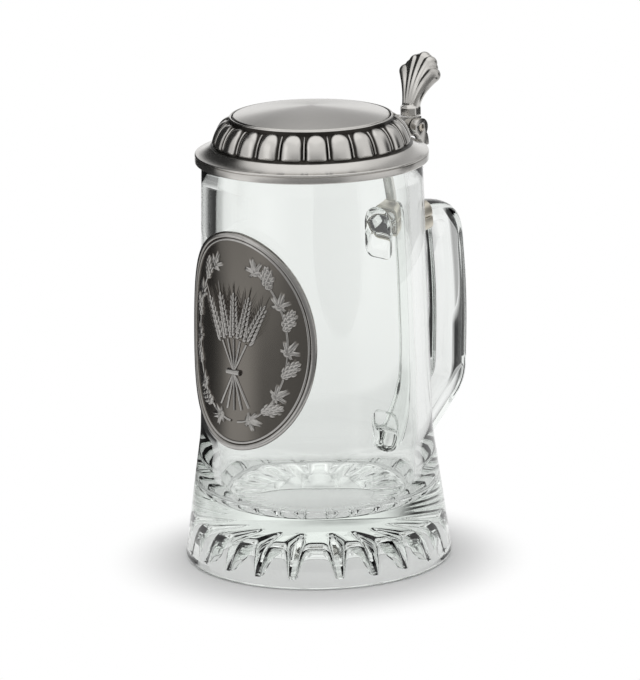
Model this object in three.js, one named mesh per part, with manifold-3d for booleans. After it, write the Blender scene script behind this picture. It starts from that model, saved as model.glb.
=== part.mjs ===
import * as THREE from 'three';
import { mergeVertices } from 'three/addons/utils/BufferGeometryUtils.js';
import Module from 'manifold-3d';

const wasm = await Module();
wasm.setup();

// Sizes are in millimetres. The mug stands on Z = 0 and turns about Z; its handle points along +X.

// Thin films and gaps between pieces that touch
const FUSE_GAP = 0.3;
const SOLDER_GAP = 0.3;
const SEAT_GAP = 0.3;
const PACKING_GAP = 0.3;
const ADHESIVE_GAP = 0.3;
const PIN_CLEARANCE = 0.1;

// Glass body: a slightly tapered wall above a flared, star-cut foot
const BODY_HEIGHT = 160;
const RIM_RADIUS = 42.8;
const WAIST_RADIUS = 45.4;
const WAIST_HEIGHT = 50.5;
const WAIST_BLEND = 3.5;
const FOOT_RADIUS = 52.3;
const FOOT_EDGE = 2.2;
const STANDING_WIDTH = 3;
const WALL = 5.7;
const FLOOR_HEIGHT = 23;
const FLOOR_DISH = 1.2;
const FLOOR_FILLET = 11.5;

// Star cut under the foot: niches between buttress ribs, a wider niche at each seam of the mould
const STAR_HEIGHT = 15.5;
const MOULD_PARTS = 4;
const PART_NICHES = 5;
const SEAM_NICHE = 22.5;
const STAR_TURN = 40.6;
const RIB_SHARE = 0.28;
const RIB_FOOT_SHARE = 0.72;
const RIB_START = 0.5;
const RIB_CURVE = 1.3;
const NICHE_CURVE = 14;
const NICHE_ROUNDNESS = 3;

// Glass handle: bar, flat inside and crowned outside, with an arched arm, a bowed grip and a slanted arm
const HANDLE_WIDTH = 13;
const GRIP_THICKNESS = 12;
const ARM_THICKNESS = 7.2;
const HANDLE_BEVEL = 0.6;
const CROWN_SHARE = 0.37;
const FINGER_GAP = 30.27;
const ARM_DROP = 34.5;
const ARM_SLOPE = 6;
const UPPER_LEAN = 4;
const LOWER_LEAN = 1.7;
const LOWER_CORNER_HEIGHT = 55;
const LOWER_ARM_SLOPE = 39.4;
const UPPER_BEND = 14;
const LOWER_BEND = 6;
const GRIP_BEND = 17.5;
const ROOT_WIDTH = 16;
const ROOT_HEIGHT = 21.5;
const ROOT_LENGTH = 8;
const ROOT_CLEARANCE = 0.6;
const ROOT_DROP = 2;
const ROOT_CLIMB = 4.7;

// Oval badge bent round the wall opposite the handle
const BADGE_HEIGHT = 85.3;
const BADGE_ARC = 66.8;
const BADGE_LIFT = 1.5;
const BADGE_PLATE = 0.8;
const BADGE_RIM_WIDTH = 2.4;
const BADGE_RIM_RISE = 1;
const BADGE_RIM_SHOULDER = 0.5;
const BADGE_BEAD_WIDTH = 1.2;
const BADGE_BEAD_RISE = 0.6;
const ADHESIVE_THICKNESS = 0.4;
const ADHESIVE_MARGIN = 2;

// Pewter lid: skirt, flange, ring of gadroons and turned crown
const LID_CLEARANCE = 0.5;
const SKIRT_WALL = 1.9;
const SKIRT_DROP = 2.35;
const FLANGE_EDGE = 1.3;
const FLANGE_WIDTH = 6.4;
const FLANGE_RISE = 4.3;
const GADROONS = 24;
const GADROON_WIDTH = 8.3;
const GADROON_HEIGHT = 10.6;
const GADROON_DEPTH = 1.3;
const GADROON_SWELL = 0.2;
const CROWN_GROOVE = 0.6;
const CROWN_RISE = 4.3;
const LID_WALL = 1.9;

// Hinge between the band on the handle and the lid
const HINGE_SETBACK = 11.4;
const PIN_RISE = 1.8;
const PIN_RADIUS = 1.5;
const PIN_PROUD = 0.35;
const KNUCKLE_RADIUS = 3.75;
const KNUCKLE_WIDTH = 8;
const KNUCKLE_GAP = 0.3;
const EAR_THICKNESS = 3;
const EAR_NECK = 36;
const OPEN_ANGLE = 105;
const LID_ARM_RISE = 4.4;
const LID_ARM_SETBACK = 0.8;
const SHANK_WIDTH = 7;
const SHANK_THICKNESS = 4;
const SHANK_OFFSET = 2.2;
const SHANK_SHOULDER = 9;

// Band clamped round the upper arm of the handle
const BAND_WIDTH = 9;
const BAND_WALL = 1.2;
const BAND_CORNER = 4;
const PACKING_THICKNESS = 0.5;
const PACKING_SLIT = 1;

// Thumb lift: flutes fanning from a waist on a bevelled collar
const COLLAR_LENGTH = 7.4;
const COLLAR_WIDTH = 8;
const COLLAR_HEIGHT = 4.3;
const COLLAR_BEVEL = 1.4;
const COLLAR_OFFSET = 1.8;
const FAN_FLUTES = 5;
const FAN_HEIGHT = 24;
const FAN_SPREAD = 6.9;
const FAN_LEAN = 8.8;
const FAN_DROOP = 6.5;
const FAN_SIDE_SETBACK = 2.9;
const FAN_WAIST = 0.55;
const FAN_WAIST_LEAN = 1.5;
const FLUTE_FOOT_RADIUS = 2;
const FLUTE_TIP_RADIUS = 3;
const FLUTE_FLARE = 1.5;

// Facets round a full turn, and steps along curves
const LID_SEGMENTS = 4 * GADROONS;
const BADGE_SIDES = 40;
const PIN_SIDES = 20;
const FLUTE_SIDES = 8;
const CURVE_STEPS = 3;
const CORNER_STEPS = 3;
const STAR_SHARES = [0, 0.5, 0.64, 0.76, 0.86, 0.93, 0.975, 1];
const CROWN_STEPS = 6;
const GADROON_STEPS = 5;
const HANDLE_STEPS = 38;
const BADGE_STEPS = 6;
const FLUTE_STEPS = 6;

// Sizes that follow from the ones above
const wallTaper = (WAIST_RADIUS - RIM_RADIUS) / (BODY_HEIGHT - WAIST_HEIGHT);
const standingRadius = FOOT_RADIUS - FOOT_EDGE;
const starRadius = standingRadius - STANDING_WIDTH;
const skirtRadius = RIM_RADIUS + LID_CLEARANCE;
const flangeRadius = skirtRadius + SKIRT_WALL;
const gadroonFootRadius = flangeRadius - FLANGE_WIDTH;
const crownRadius = gadroonFootRadius - GADROON_WIDTH;
const gadroonFootHeight = BODY_HEIGHT + FLANGE_RISE;
const crownHeight = gadroonFootHeight + GADROON_HEIGHT;
const pinX = flangeRadius + HINGE_SETBACK;
const pinHeight = BODY_HEIGHT + PIN_RISE;
const earInner = KNUCKLE_WIDTH / 2 + KNUCKLE_GAP;
const earOuter = earInner + EAR_THICKNESS;
const collarSeat = pinHeight + KNUCKLE_RADIUS;
const collarX = pinX + COLLAR_OFFSET;
const armHeight = BODY_HEIGHT - ARM_DROP;
const armCrown = CROWN_SHARE * ARM_THICKNESS;
const gripX = WAIST_RADIUS + FINGER_GAP + GRIP_THICKNESS / 2;
const badgeHeight = WAIST_HEIGHT + BADGE_LIFT + BADGE_HEIGHT / 2;
const upperRootEnd = pinX - BAND_WIDTH / 2 - ROOT_CLEARANCE;
const packingOffset = PACKING_GAP;
const bandOffset = packingOffset + PACKING_THICKNESS + PACKING_GAP;
const badgeBack = ADHESIVE_GAP + ADHESIVE_THICKNESS + ADHESIVE_GAP;

const degrees = THREE.MathUtils.degToRad;
const armSlope = Math.tan(degrees(ARM_SLOPE));

// Outer radius of the tapered wall at a height above the waist
function wallRadius(height) {
  return RIM_RADIUS + (BODY_HEIGHT - height) * wallTaper;
}

// Turns a profile of (radius, height) points about Z
function revolved(profile, segments) {
  return new THREE.LatheGeometry(profile, segments).rotateX(Math.PI / 2);
}

// Pushes an outline drawn in X and Z along Y, centred on the handle's plane
function pushed(outline, width, curveSegments = 8) {
  const options = { depth: width, bevelEnabled: false, curveSegments };
  return new THREE.ExtrudeGeometry(outline, options).rotateX(Math.PI / 2).translate(0, width / 2, 0);
}

// Closed skin over a row of rings with equal numbers of points
function lofted(rings) {
  const sides = rings[0].length;
  const points = rings.flat();
  const triangles = [];
  for (let row = 0; row + 1 < rings.length; row += 1) {
    for (let side = 0; side < sides; side += 1) {
      const a = row * sides + side;
      const b = row * sides + ((side + 1) % sides);
      triangles.push(a, b, a + sides, b, b + sides, a + sides);
    }
  }
  for (const [row, turn] of [[0, 1], [rings.length - 1, 0]]) {
    const centre = new THREE.Vector3();
    rings[row].forEach((point) => centre.addScaledVector(point, 1 / sides));
    const hub = points.push(centre) - 1;
    for (let side = 0; side < sides; side += 1) {
      const a = row * sides + side;
      const b = row * sides + ((side + 1) % sides);
      triangles.push(hub, turn ? b : a, turn ? a : b);
    }
  }
  return new THREE.BufferGeometry().setFromPoints(points).setIndex(triangles);
}

// Moves every vertex of a geometry by a rule
function reshaped(geometry, rule) {
  const position = geometry.attributes.position;
  const point = new THREE.Vector3();
  for (let index = 0; index < position.count; index += 1) {
    point.fromBufferAttribute(position, index);
    rule(point, index);
    position.setXYZ(index, point.x, point.y, point.z);
  }
  return geometry;
}

// Solid for joining and cutting, and the geometry that comes back from it
function solidOf(geometry) {
  const bare = geometry.clone();
  bare.deleteAttribute('normal');
  bare.deleteAttribute('uv');
  const merged = mergeVertices(bare, 1e-4);
  const vertProperties = new Float32Array(merged.attributes.position.array);
  const triVerts = new Uint32Array(merged.index.array);
  return new wasm.Manifold(new wasm.Mesh({ numProp: 3, vertProperties, triVerts }));
}

function geometryOf(solid) {
  const mesh = solid.getMesh();
  const geometry = new THREE.BufferGeometry();
  geometry.setAttribute('position', new THREE.BufferAttribute(mesh.vertProperties, 3));
  geometry.setIndex(new THREE.BufferAttribute(mesh.triVerts, 1));
  geometry.computeVertexNormals();
  return geometry;
}

// Corner points of a rectangle whose upper and lower corners are rounded, the same number whatever its size
function roundedRectangle(halfWidth, halfHeight, cornerSteps, upperCorner, lowerCorner = upperCorner) {
  const points = [];
  for (let quarter = 0; quarter < 4; quarter += 1) {
    const acrossSign = quarter === 0 || quarter === 3 ? 1 : -1;
    const upSign = quarter < 2 ? 1 : -1;
    const corner = quarter < 2 ? upperCorner : lowerCorner;
    for (let step = 0; step <= cornerSteps; step += 1) {
      const turn = (quarter + step / cornerSteps) * (Math.PI / 2);
      points.push(new THREE.Vector2(
        acrossSign * (halfWidth - corner) + corner * Math.cos(turn),
        upSign * (halfHeight - corner) + corner * Math.sin(turn),
      ));
    }
  }
  return points;
}

// Glass body

// Angles of the body's columns: every niche has the edges of its two ribs and the ends of its own floor
function bodyAngles() {
  const partAngle = 360 / MOULD_PARTS;
  const pitch = (partAngle - SEAM_NICHE) / (PART_NICHES - 1);
  const shares = [RIB_SHARE / 2, RIB_FOOT_SHARE / 2, 1 - RIB_FOOT_SHARE / 2, 1 - RIB_SHARE / 2];
  const angles = [];
  let start = STAR_TURN - SEAM_NICHE / 2;
  for (let niche = 0; niche < MOULD_PARTS * PART_NICHES; niche += 1) {
    const width = niche % PART_NICHES === 0 ? SEAM_NICHE : pitch;
    shares.forEach((share) => angles.push(degrees(start + share * width)));
    start += width;
  }
  return angles;
}

// Turns a profile about Z, with the body's own columns
function turnedBody(profile) {
  const angles = bodyAngles();
  return reshaped(revolved(profile, angles.length), (point, index) => {
    const turn = angles[Math.floor(index / profile.length) % angles.length];
    const radius = Math.hypot(point.x, point.y);
    point.set(radius * Math.cos(turn), radius * Math.sin(turn), point.z);
  });
}

// Line of a rib of the star, from the ceiling on the axis down to the standing ring
function ribProfile() {
  return STAR_SHARES.map((share) => {
    const along = Math.max(0, (share - RIB_START) / (1 - RIB_START));
    return new THREE.Vector2(share * starRadius, STAR_HEIGHT * (1 - along ** RIB_CURVE));
  });
}

function nicheHeight(share) {
  return STAR_HEIGHT * Math.max(0, 1 - share ** NICHE_CURVE) ** (1 / NICHE_ROUNDNESS);
}

// Outside of the foot and wall, from the standing ring up to the start of the rim
function outerProfile(offset = 0) {
  const flare = (FOOT_RADIUS - WAIST_RADIUS) / (WAIST_HEIGHT - FOOT_EDGE);
  const outline = new THREE.Path();
  outline.moveTo(standingRadius + offset, 0);
  outline.quadraticCurveTo(FOOT_RADIUS + offset, 0, FOOT_RADIUS + offset, FOOT_EDGE);
  outline.lineTo(WAIST_RADIUS + flare * WAIST_BLEND + offset, WAIST_HEIGHT - WAIST_BLEND);
  const blendTop = WAIST_HEIGHT + WAIST_BLEND;
  outline.quadraticCurveTo(WAIST_RADIUS + offset, WAIST_HEIGHT, wallRadius(blendTop) + offset, blendTop);
  outline.lineTo(RIM_RADIUS + offset, BODY_HEIGHT - WALL / 2);
  return outline.getPoints(CURVE_STEPS);
}

// Rounded rim, inside of the wall and the dished floor
function innerProfile() {
  const rimCentre = RIM_RADIUS - WALL / 2;
  const floorRadius = WAIST_RADIUS - WALL;
  const fillet = Math.min(FLOOR_FILLET, floorRadius / 2);
  const outline = new THREE.Path();
  outline.moveTo(RIM_RADIUS, BODY_HEIGHT - WALL / 2);
  outline.absarc(rimCentre, BODY_HEIGHT - WALL / 2, WALL / 2, 0, Math.PI);
  outline.lineTo(floorRadius, WAIST_HEIGHT);
  outline.lineTo(floorRadius, FLOOR_HEIGHT + fillet);
  outline.quadraticCurveTo(floorRadius, FLOOR_HEIGHT, floorRadius - fillet, FLOOR_HEIGHT);
  outline.quadraticCurveTo(fillet, FLOOR_HEIGHT - FLOOR_DISH, 0, FLOOR_HEIGHT - FLOOR_DISH);
  return outline.getPoints(CURVE_STEPS).slice(1);
}

function bodyGeometry() {
  const rib = ribProfile();
  const profile = [...rib, ...outerProfile(), ...innerProfile()];
  return reshaped(turnedBody(profile), (point, index) => {
    const row = index % profile.length;
    const column = Math.floor(index / profile.length) % 4;
    const inNiche = column === 1 || column === 2;
    if (inNiche && row > 0 && row < rib.length) point.z = nicheHeight(STAR_SHARES[row]);
  });
}

// The body's outside grown by the film where another piece of glass is fused to it
function bodyClearance() {
  const profile = [new THREE.Vector2(0, 0), ...outerProfile(FUSE_GAP), new THREE.Vector2(0, BODY_HEIGHT)];
  return solidOf(turnedBody(profile));
}

// Glass handle

function handleCentreline() {
  const slant = Math.tan(degrees(LOWER_ARM_SLOPE));
  const upperX = gripX - UPPER_LEAN;
  const lowerX = gripX - LOWER_LEAN;
  const onPlane = (x, height) => new THREE.Vector3(x, 0, height);
  const corners = [
    onPlane(RIM_RADIUS - WALL, armHeight - (pinX - RIM_RADIUS + WALL) * armSlope),
    onPlane(upperX, armHeight + (upperX - pinX) * armSlope),
    onPlane(gripX, (armHeight + LOWER_CORNER_HEIGHT) / 2),
    onPlane(lowerX, LOWER_CORNER_HEIGHT),
    onPlane(WAIST_RADIUS - WALL, LOWER_CORNER_HEIGHT - (lowerX - WAIST_RADIUS + WALL) * slant),
  ];
  const bends = [0, UPPER_BEND, GRIP_BEND, LOWER_BEND, 0];
  const route = new THREE.CurvePath();
  let from = corners[0];
  for (let corner = 1; corner + 1 < corners.length; corner += 1) {
    const here = corners[corner];
    const [back, ahead] = [corners[corner - 1], corners[corner + 1]].map((next) => {
      const leg = next.clone().sub(here);
      // A bend takes at most half of the leg beside it
      return leg.setLength(Math.min(bends[corner], leg.length() / 2)).add(here);
    });
    route.add(new THREE.LineCurve3(from, back));
    route.add(new THREE.QuadraticBezierCurve3(back, here, ahead));
    from = ahead;
  }
  route.add(new THREE.LineCurve3(from, corners[corners.length - 1]));
  return route;
}

// Section of the bar across its path: a crown outside, flat flanks and a flat, bevelled inside
function handleSection(width, thickness) {
  const half = width / 2;
  const crown = CROWN_SHARE * thickness;
  const inside = -thickness / 2;
  const points = [];
  for (let step = 0; step <= CROWN_STEPS; step += 1) {
    const turn = (step / CROWN_STEPS) * Math.PI;
    points.push(new THREE.Vector2(half * Math.cos(turn), thickness / 2 - crown * (1 - Math.sin(turn))));
  }
  points.push(
    new THREE.Vector2(-half, inside + HANDLE_BEVEL),
    new THREE.Vector2(-half + HANDLE_BEVEL, inside),
    new THREE.Vector2(half - HANDLE_BEVEL, inside),
    new THREE.Vector2(half, inside + HANDLE_BEVEL),
  );
  return points;
}

function handleGeometry() {
  const route = handleCentreline();
  const rings = [];
  for (let step = 0; step <= HANDLE_STEPS; step += 1) {
    const centre = route.getPointAt(step / HANDLE_STEPS);
    const ahead = route.getTangentAt(step / HANDLE_STEPS);
    const across = new THREE.Vector3(-ahead.z, 0, ahead.x);
    const upper = centre.z > WAIST_HEIGHT;
    const flareRadius = upper ? wallRadius(centre.z) : WAIST_RADIUS;
    const rootLength = upper ? upperRootEnd - flareRadius : ROOT_LENGTH;
    const root = THREE.MathUtils.clamp(1 - (centre.x - flareRadius) / rootLength, 0, 1) ** 2;
    // The upper arm thickens as it turns down into the grip
    const swell = upper && ahead.x > 0 ? ahead.z ** 2 : 1;
    const bar = THREE.MathUtils.lerp(ARM_THICKNESS, GRIP_THICKNESS, swell);
    const thickness = THREE.MathUtils.lerp(bar, ROOT_HEIGHT, root);
    const width = THREE.MathUtils.lerp(HANDLE_WIDTH, ROOT_WIDTH, root);
    const aside = root * (upper ? ROOT_DROP : ROOT_CLIMB);
    rings.push(handleSection(width, thickness).map((spot) => (
      new THREE.Vector3(0, spot.x, 0).addScaledVector(across, spot.y - aside).add(centre)
    )));
  }
  return geometryOf(solidOf(lofted(rings)).subtract(bodyClearance()));
}

// Badge

// Point on the badge: shares of its half axes less an inset, lifted off the wall
function badgePoint(scale, inset, turn, lift) {
  const along = (BADGE_ARC / 2 - inset) * scale * Math.cos(turn);
  const height = badgeHeight + (BADGE_HEIGHT / 2 - inset) * scale * Math.sin(turn);
  const radius = wallRadius(height) + lift;
  const angle = Math.PI + along / wallRadius(badgeHeight);
  return new THREE.Vector3(radius * Math.cos(angle), radius * Math.sin(angle), height);
}

function badgeRing(scale, inset, lift) {
  return Array.from({ length: BADGE_SIDES }, (_, side) => (
    badgePoint(scale, inset, (side / BADGE_SIDES) * 2 * Math.PI, lift)
  ));
}

// Rings of a face that spreads from near its middle to an inset border
function badgeFace(inset, lift) {
  return Array.from({ length: BADGE_STEPS }, (_, step) => badgeRing((step + 1) / BADGE_STEPS, inset, lift));
}

function badgeGeometry() {
  const plate = badgeBack + BADGE_PLATE;
  const crest = plate + BADGE_RIM_RISE;
  const beadStart = BADGE_RIM_WIDTH;
  const beadEnd = BADGE_RIM_WIDTH + BADGE_BEAD_WIDTH;
  const border = [
    [0, badgeBack + BADGE_PLATE / 2],
    [BADGE_RIM_SHOULDER, crest - BADGE_RIM_RISE / 4],
    [BADGE_RIM_WIDTH / 2, crest],
    [BADGE_RIM_WIDTH - BADGE_RIM_SHOULDER, crest - BADGE_RIM_RISE / 4],
    [beadStart, plate + BADGE_BEAD_RISE / 3],
    [(beadStart + beadEnd) / 2, plate + BADGE_BEAD_RISE],
  ].map(([inset, lift]) => badgeRing(1, inset, lift));
  return lofted([...badgeFace(0, badgeBack), ...border, ...badgeFace(beadEnd, plate).reverse()]);
}

function adhesiveGeometry() {
  const back = badgeFace(ADHESIVE_MARGIN, ADHESIVE_GAP);
  const front = badgeFace(ADHESIVE_MARGIN, ADHESIVE_GAP + ADHESIVE_THICKNESS);
  return lofted([...back, ...front.reverse()]);
}

// Lid

function lidUnderside() {
  const seat = BODY_HEIGHT + SEAT_GAP;
  const hollow = gadroonFootRadius - LID_WALL - GADROON_DEPTH;
  const outline = new THREE.Path();
  outline.moveTo(0, crownHeight + CROWN_RISE - LID_WALL);
  outline.quadraticCurveTo(crownRadius / 2, crownHeight + CROWN_RISE - LID_WALL,
    crownRadius - LID_WALL, crownHeight - LID_WALL - GADROON_DEPTH);
  outline.quadraticCurveTo(hollow, crownHeight - 2 * LID_WALL, hollow, seat + LID_WALL);
  outline.lineTo(hollow, seat);
  outline.lineTo(skirtRadius, seat);
  outline.lineTo(skirtRadius, BODY_HEIGHT - SKIRT_DROP);
  return outline.getPoints(CURVE_STEPS - 1);
}

function lidFlange() {
  const edge = BODY_HEIGHT + FLANGE_EDGE;
  const lip = SKIRT_WALL / 4;
  const outline = new THREE.Path();
  outline.moveTo(flangeRadius - lip, BODY_HEIGHT - SKIRT_DROP);
  outline.lineTo(flangeRadius, BODY_HEIGHT - SKIRT_DROP + lip);
  outline.lineTo(flangeRadius, edge - lip);
  outline.lineTo(flangeRadius - lip, edge);
  const middle = gadroonFootRadius + FLANGE_WIDTH / 2;
  outline.quadraticCurveTo(middle, edge + lip, gadroonFootRadius, gadroonFootHeight);
  return outline.getPoints(CURVE_STEPS - 1);
}

// Line over the top of a gadroon, from the flange up to the crown's groove
function gadroonLine() {
  const foot = new THREE.Vector2(gadroonFootRadius, gadroonFootHeight);
  const swell = new THREE.Vector2(
    gadroonFootRadius - GADROON_WIDTH * GADROON_SWELL,
    crownHeight - GADROON_HEIGHT * GADROON_SWELL,
  );
  const top = new THREE.Vector2(crownRadius + 2 * CROWN_GROOVE, crownHeight);
  return new THREE.QuadraticBezierCurve(foot, swell, top).getPoints(GADROON_STEPS).slice(1);
}

function lidCrown() {
  const outline = new THREE.Path();
  outline.moveTo(crownRadius, crownHeight - CROWN_GROOVE);
  outline.lineTo(crownRadius - CROWN_GROOVE, crownHeight);
  outline.quadraticCurveTo(crownRadius / 2, crownHeight + CROWN_RISE, 0, crownHeight + CROWN_RISE);
  return outline.getPoints(CURVE_STEPS);
}

function lidGeometry() {
  const below = [...lidUnderside(), ...lidFlange()];
  const gadroon = gadroonLine();
  const profile = [...below, ...gadroon, ...lidCrown()];
  return reshaped(revolved(profile, LID_SEGMENTS), (point, index) => {
    const step = ((index % profile.length) - below.length + 1) / gadroon.length;
    if (step <= 0 || step >= 1) return;
    const lobe = Math.abs(Math.cos((GADROONS / 2) * Math.atan2(point.y, point.x)));
    const depth = GADROON_DEPTH * (1 - lobe) * Math.sqrt(Math.sin(Math.PI * step));
    const radius = Math.hypot(point.x, point.y);
    point.x *= 1 - (depth * (1 - step / 2)) / radius;
    point.y *= 1 - (depth * (1 - step / 2)) / radius;
    point.z -= depth * step;
  });
}

// Hinge

function pinHole() {
  return new THREE.Path().absarc(pinX, pinHeight, PIN_RADIUS + PIN_CLEARANCE, 0, 2 * Math.PI, true);
}

// Arm soldered to the flange, ending in the hinge's middle knuckle
function lidArmGeometry() {
  const inner = gadroonFootRadius + LID_ARM_SETBACK;
  const flangeTop = BODY_HEIGHT + FLANGE_EDGE + SOLDER_GAP;
  const outline = new THREE.Shape();
  outline.moveTo(inner, gadroonFootHeight + SOLDER_GAP);
  outline.quadraticCurveTo(inner + FLANGE_WIDTH / 2, flangeTop + SOLDER_GAP, flangeRadius, flangeTop);
  outline.lineTo(pinX - KNUCKLE_RADIUS, pinHeight);
  outline.absarc(pinX, pinHeight, KNUCKLE_RADIUS, Math.PI, 2 * Math.PI);
  outline.lineTo(pinX + KNUCKLE_RADIUS, collarSeat);
  outline.lineTo(collarX - COLLAR_LENGTH / 2, collarSeat);
  outline.lineTo(inner - SOLDER_GAP, gadroonFootHeight + LID_ARM_RISE);
  outline.holes.push(pinHole());
  return pushed(outline, KNUCKLE_WIDTH, PIN_SIDES / 2);
}

// Side of the fork: ears round the pin, drawn down to the shank
function shankSide() {
  const shankX = pinX + SHANK_OFFSET;
  const foot = armHeight + shankFoot();
  const neck = degrees(EAR_NECK);
  const outline = new THREE.Shape();
  outline.moveTo(shankX - SHANK_THICKNESS / 2, foot);
  outline.lineTo(shankX + SHANK_THICKNESS / 2, foot);
  outline.lineTo(shankX + SHANK_THICKNESS / 2, pinHeight - 2 * KNUCKLE_RADIUS);
  outline.quadraticCurveTo(shankX + SHANK_THICKNESS / 2, pinHeight - KNUCKLE_RADIUS,
    pinX + KNUCKLE_RADIUS * Math.cos(neck), pinHeight - KNUCKLE_RADIUS * Math.sin(neck));
  outline.absarc(pinX, pinHeight, KNUCKLE_RADIUS, -neck, Math.PI + neck);
  outline.quadraticCurveTo(shankX - SHANK_THICKNESS / 2, pinHeight - KNUCKLE_RADIUS,
    shankX - SHANK_THICKNESS / 2, pinHeight - 2 * KNUCKLE_RADIUS);
  outline.holes.push(pinHole());
  return pushed(outline, 2 * earOuter, PIN_SIDES / 2);
}

// Front of the fork: wide ears tapering to the shank
function shankFront() {
  const shoulder = pinHeight - SHANK_SHOULDER;
  const outline = new THREE.Shape();
  outline.moveTo(-SHANK_WIDTH / 2, armHeight);
  outline.lineTo(SHANK_WIDTH / 2, armHeight);
  outline.lineTo(SHANK_WIDTH / 2, shoulder - SHANK_WIDTH / 2);
  outline.quadraticCurveTo(SHANK_WIDTH / 2, shoulder, earOuter, shoulder + SHANK_WIDTH / 4);
  outline.lineTo(earOuter, pinHeight + 2 * KNUCKLE_RADIUS);
  outline.lineTo(-earOuter, pinHeight + 2 * KNUCKLE_RADIUS);
  outline.lineTo(-earOuter, shoulder + SHANK_WIDTH / 4);
  outline.quadraticCurveTo(-SHANK_WIDTH / 2, shoulder, -SHANK_WIDTH / 2, shoulder - SHANK_WIDTH / 2);
  const depth = 6 * KNUCKLE_RADIUS;
  return pushed(outline, depth).rotateZ(Math.PI / 2).translate(pinX, 0, 0);
}

// Slot between the ears; its floor meets the collar's back when the lid is open
function shankSlot() {
  const reach = COLLAR_OFFSET + COLLAR_LENGTH / 2 + KNUCKLE_GAP;
  const size = 8 * KNUCKLE_RADIUS;
  const slot = new THREE.BoxGeometry(size, 2 * earInner, size);
  slot.translate(0, 0, size / 2 - reach).rotateY(degrees(OPEN_ANGLE - 90));
  return slot.translate(pinX, 0, pinHeight);
}

function shankGeometry() {
  const fork = solidOf(shankSide()).intersect(solidOf(shankFront()));
  return geometryOf(fork.subtract(solidOf(shankSlot())));
}

function pinGeometry() {
  const half = earOuter + PIN_PROUD;
  const outline = new THREE.Path();
  outline.moveTo(0, -half);
  outline.quadraticCurveTo(PIN_RADIUS, -half, PIN_RADIUS, -earOuter);
  outline.lineTo(PIN_RADIUS, earOuter);
  outline.quadraticCurveTo(PIN_RADIUS, half, 0, half);
  return new THREE.LatheGeometry(outline.getPoints(CURVE_STEPS), PIN_SIDES).translate(pinX, 0, pinHeight);
}

// Band

// Height of the shank's foot above the arm's centre line, on top of the band
function shankFoot() {
  const tilt = 1 / Math.cos(degrees(ARM_SLOPE));
  const top = (ARM_THICKNESS / 2 + bandOffset + BAND_WALL + SOLDER_GAP) * tilt;
  return top + (SHANK_OFFSET + SHANK_THICKNESS / 2) * armSlope;
}

// Half of the band, drawn across the arm and pushed along it, its hole rounded to suit the arm's edge
function bandGeometry(armEdge) {
  const halfWidth = HANDLE_WIDTH / 2 + bandOffset;
  const halfHeight = ARM_THICKNESS / 2 + bandOffset;
  const corner = Math.min(armEdge + bandOffset, halfHeight);
  const outer = Math.min(corner + BAND_WALL, BAND_CORNER);
  const rim = roundedRectangle(halfWidth + BAND_WALL, halfHeight + BAND_WALL, CORNER_STEPS + 1, outer);
  const ring = new THREE.Shape(rim);
  ring.holes.push(new THREE.Path(roundedRectangle(halfWidth, halfHeight, CORNER_STEPS + 1, corner)));
  const size = 4 * HANDLE_WIDTH;
  const below = new THREE.BoxGeometry(size, size, size).translate(0, 0, (SOLDER_GAP - size) / 2);
  return geometryOf(solidOf(pushedAlong(ring, BAND_WIDTH)).subtract(solidOf(below)));
}

// Split packing sleeve between the glass and the band
function packingGeometry() {
  const halfWidth = HANDLE_WIDTH / 2 + packingOffset;
  const halfHeight = ARM_THICKNESS / 2 + packingOffset;
  const thick = PACKING_THICKNESS;
  const edges = [armCrown + packingOffset, HANDLE_BEVEL + packingOffset];
  const outerEdges = edges.map((edge) => edge + thick);
  const rim = roundedRectangle(halfWidth + thick, halfHeight + thick, CORNER_STEPS, ...outerEdges);
  const sleeve = new THREE.Shape(rim);
  sleeve.holes.push(new THREE.Path(roundedRectangle(halfWidth, halfHeight, CORNER_STEPS, ...edges)));
  const size = 2 * HANDLE_WIDTH;
  const slit = new THREE.BoxGeometry(size, PACKING_SLIT, size).translate(0, 0, -size / 2);
  return geometryOf(solidOf(pushedAlong(sleeve, BAND_WIDTH)).subtract(solidOf(slit)));
}

// Pushes an outline drawn in Y and Z along X, centred on the origin
function pushedAlong(outline, length) {
  return pushed(outline, length).rotateZ(Math.PI / 2);
}

// Thumb lift

function collarGeometry() {
  const bottom = collarSeat + SOLDER_GAP;
  const ring = (grow, height) => {
    const spots = roundedRectangle(COLLAR_LENGTH / 2 + grow, COLLAR_WIDTH / 2 + grow, 1, COLLAR_BEVEL);
    return spots.map((spot) => new THREE.Vector3(collarX + spot.x, spot.y, height));
  };
  const cut = -COLLAR_BEVEL / 2;
  return lofted([ring(0, bottom), ring(0, bottom + COLLAR_HEIGHT + cut), ring(cut, bottom + COLLAR_HEIGHT)]);
}

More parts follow.
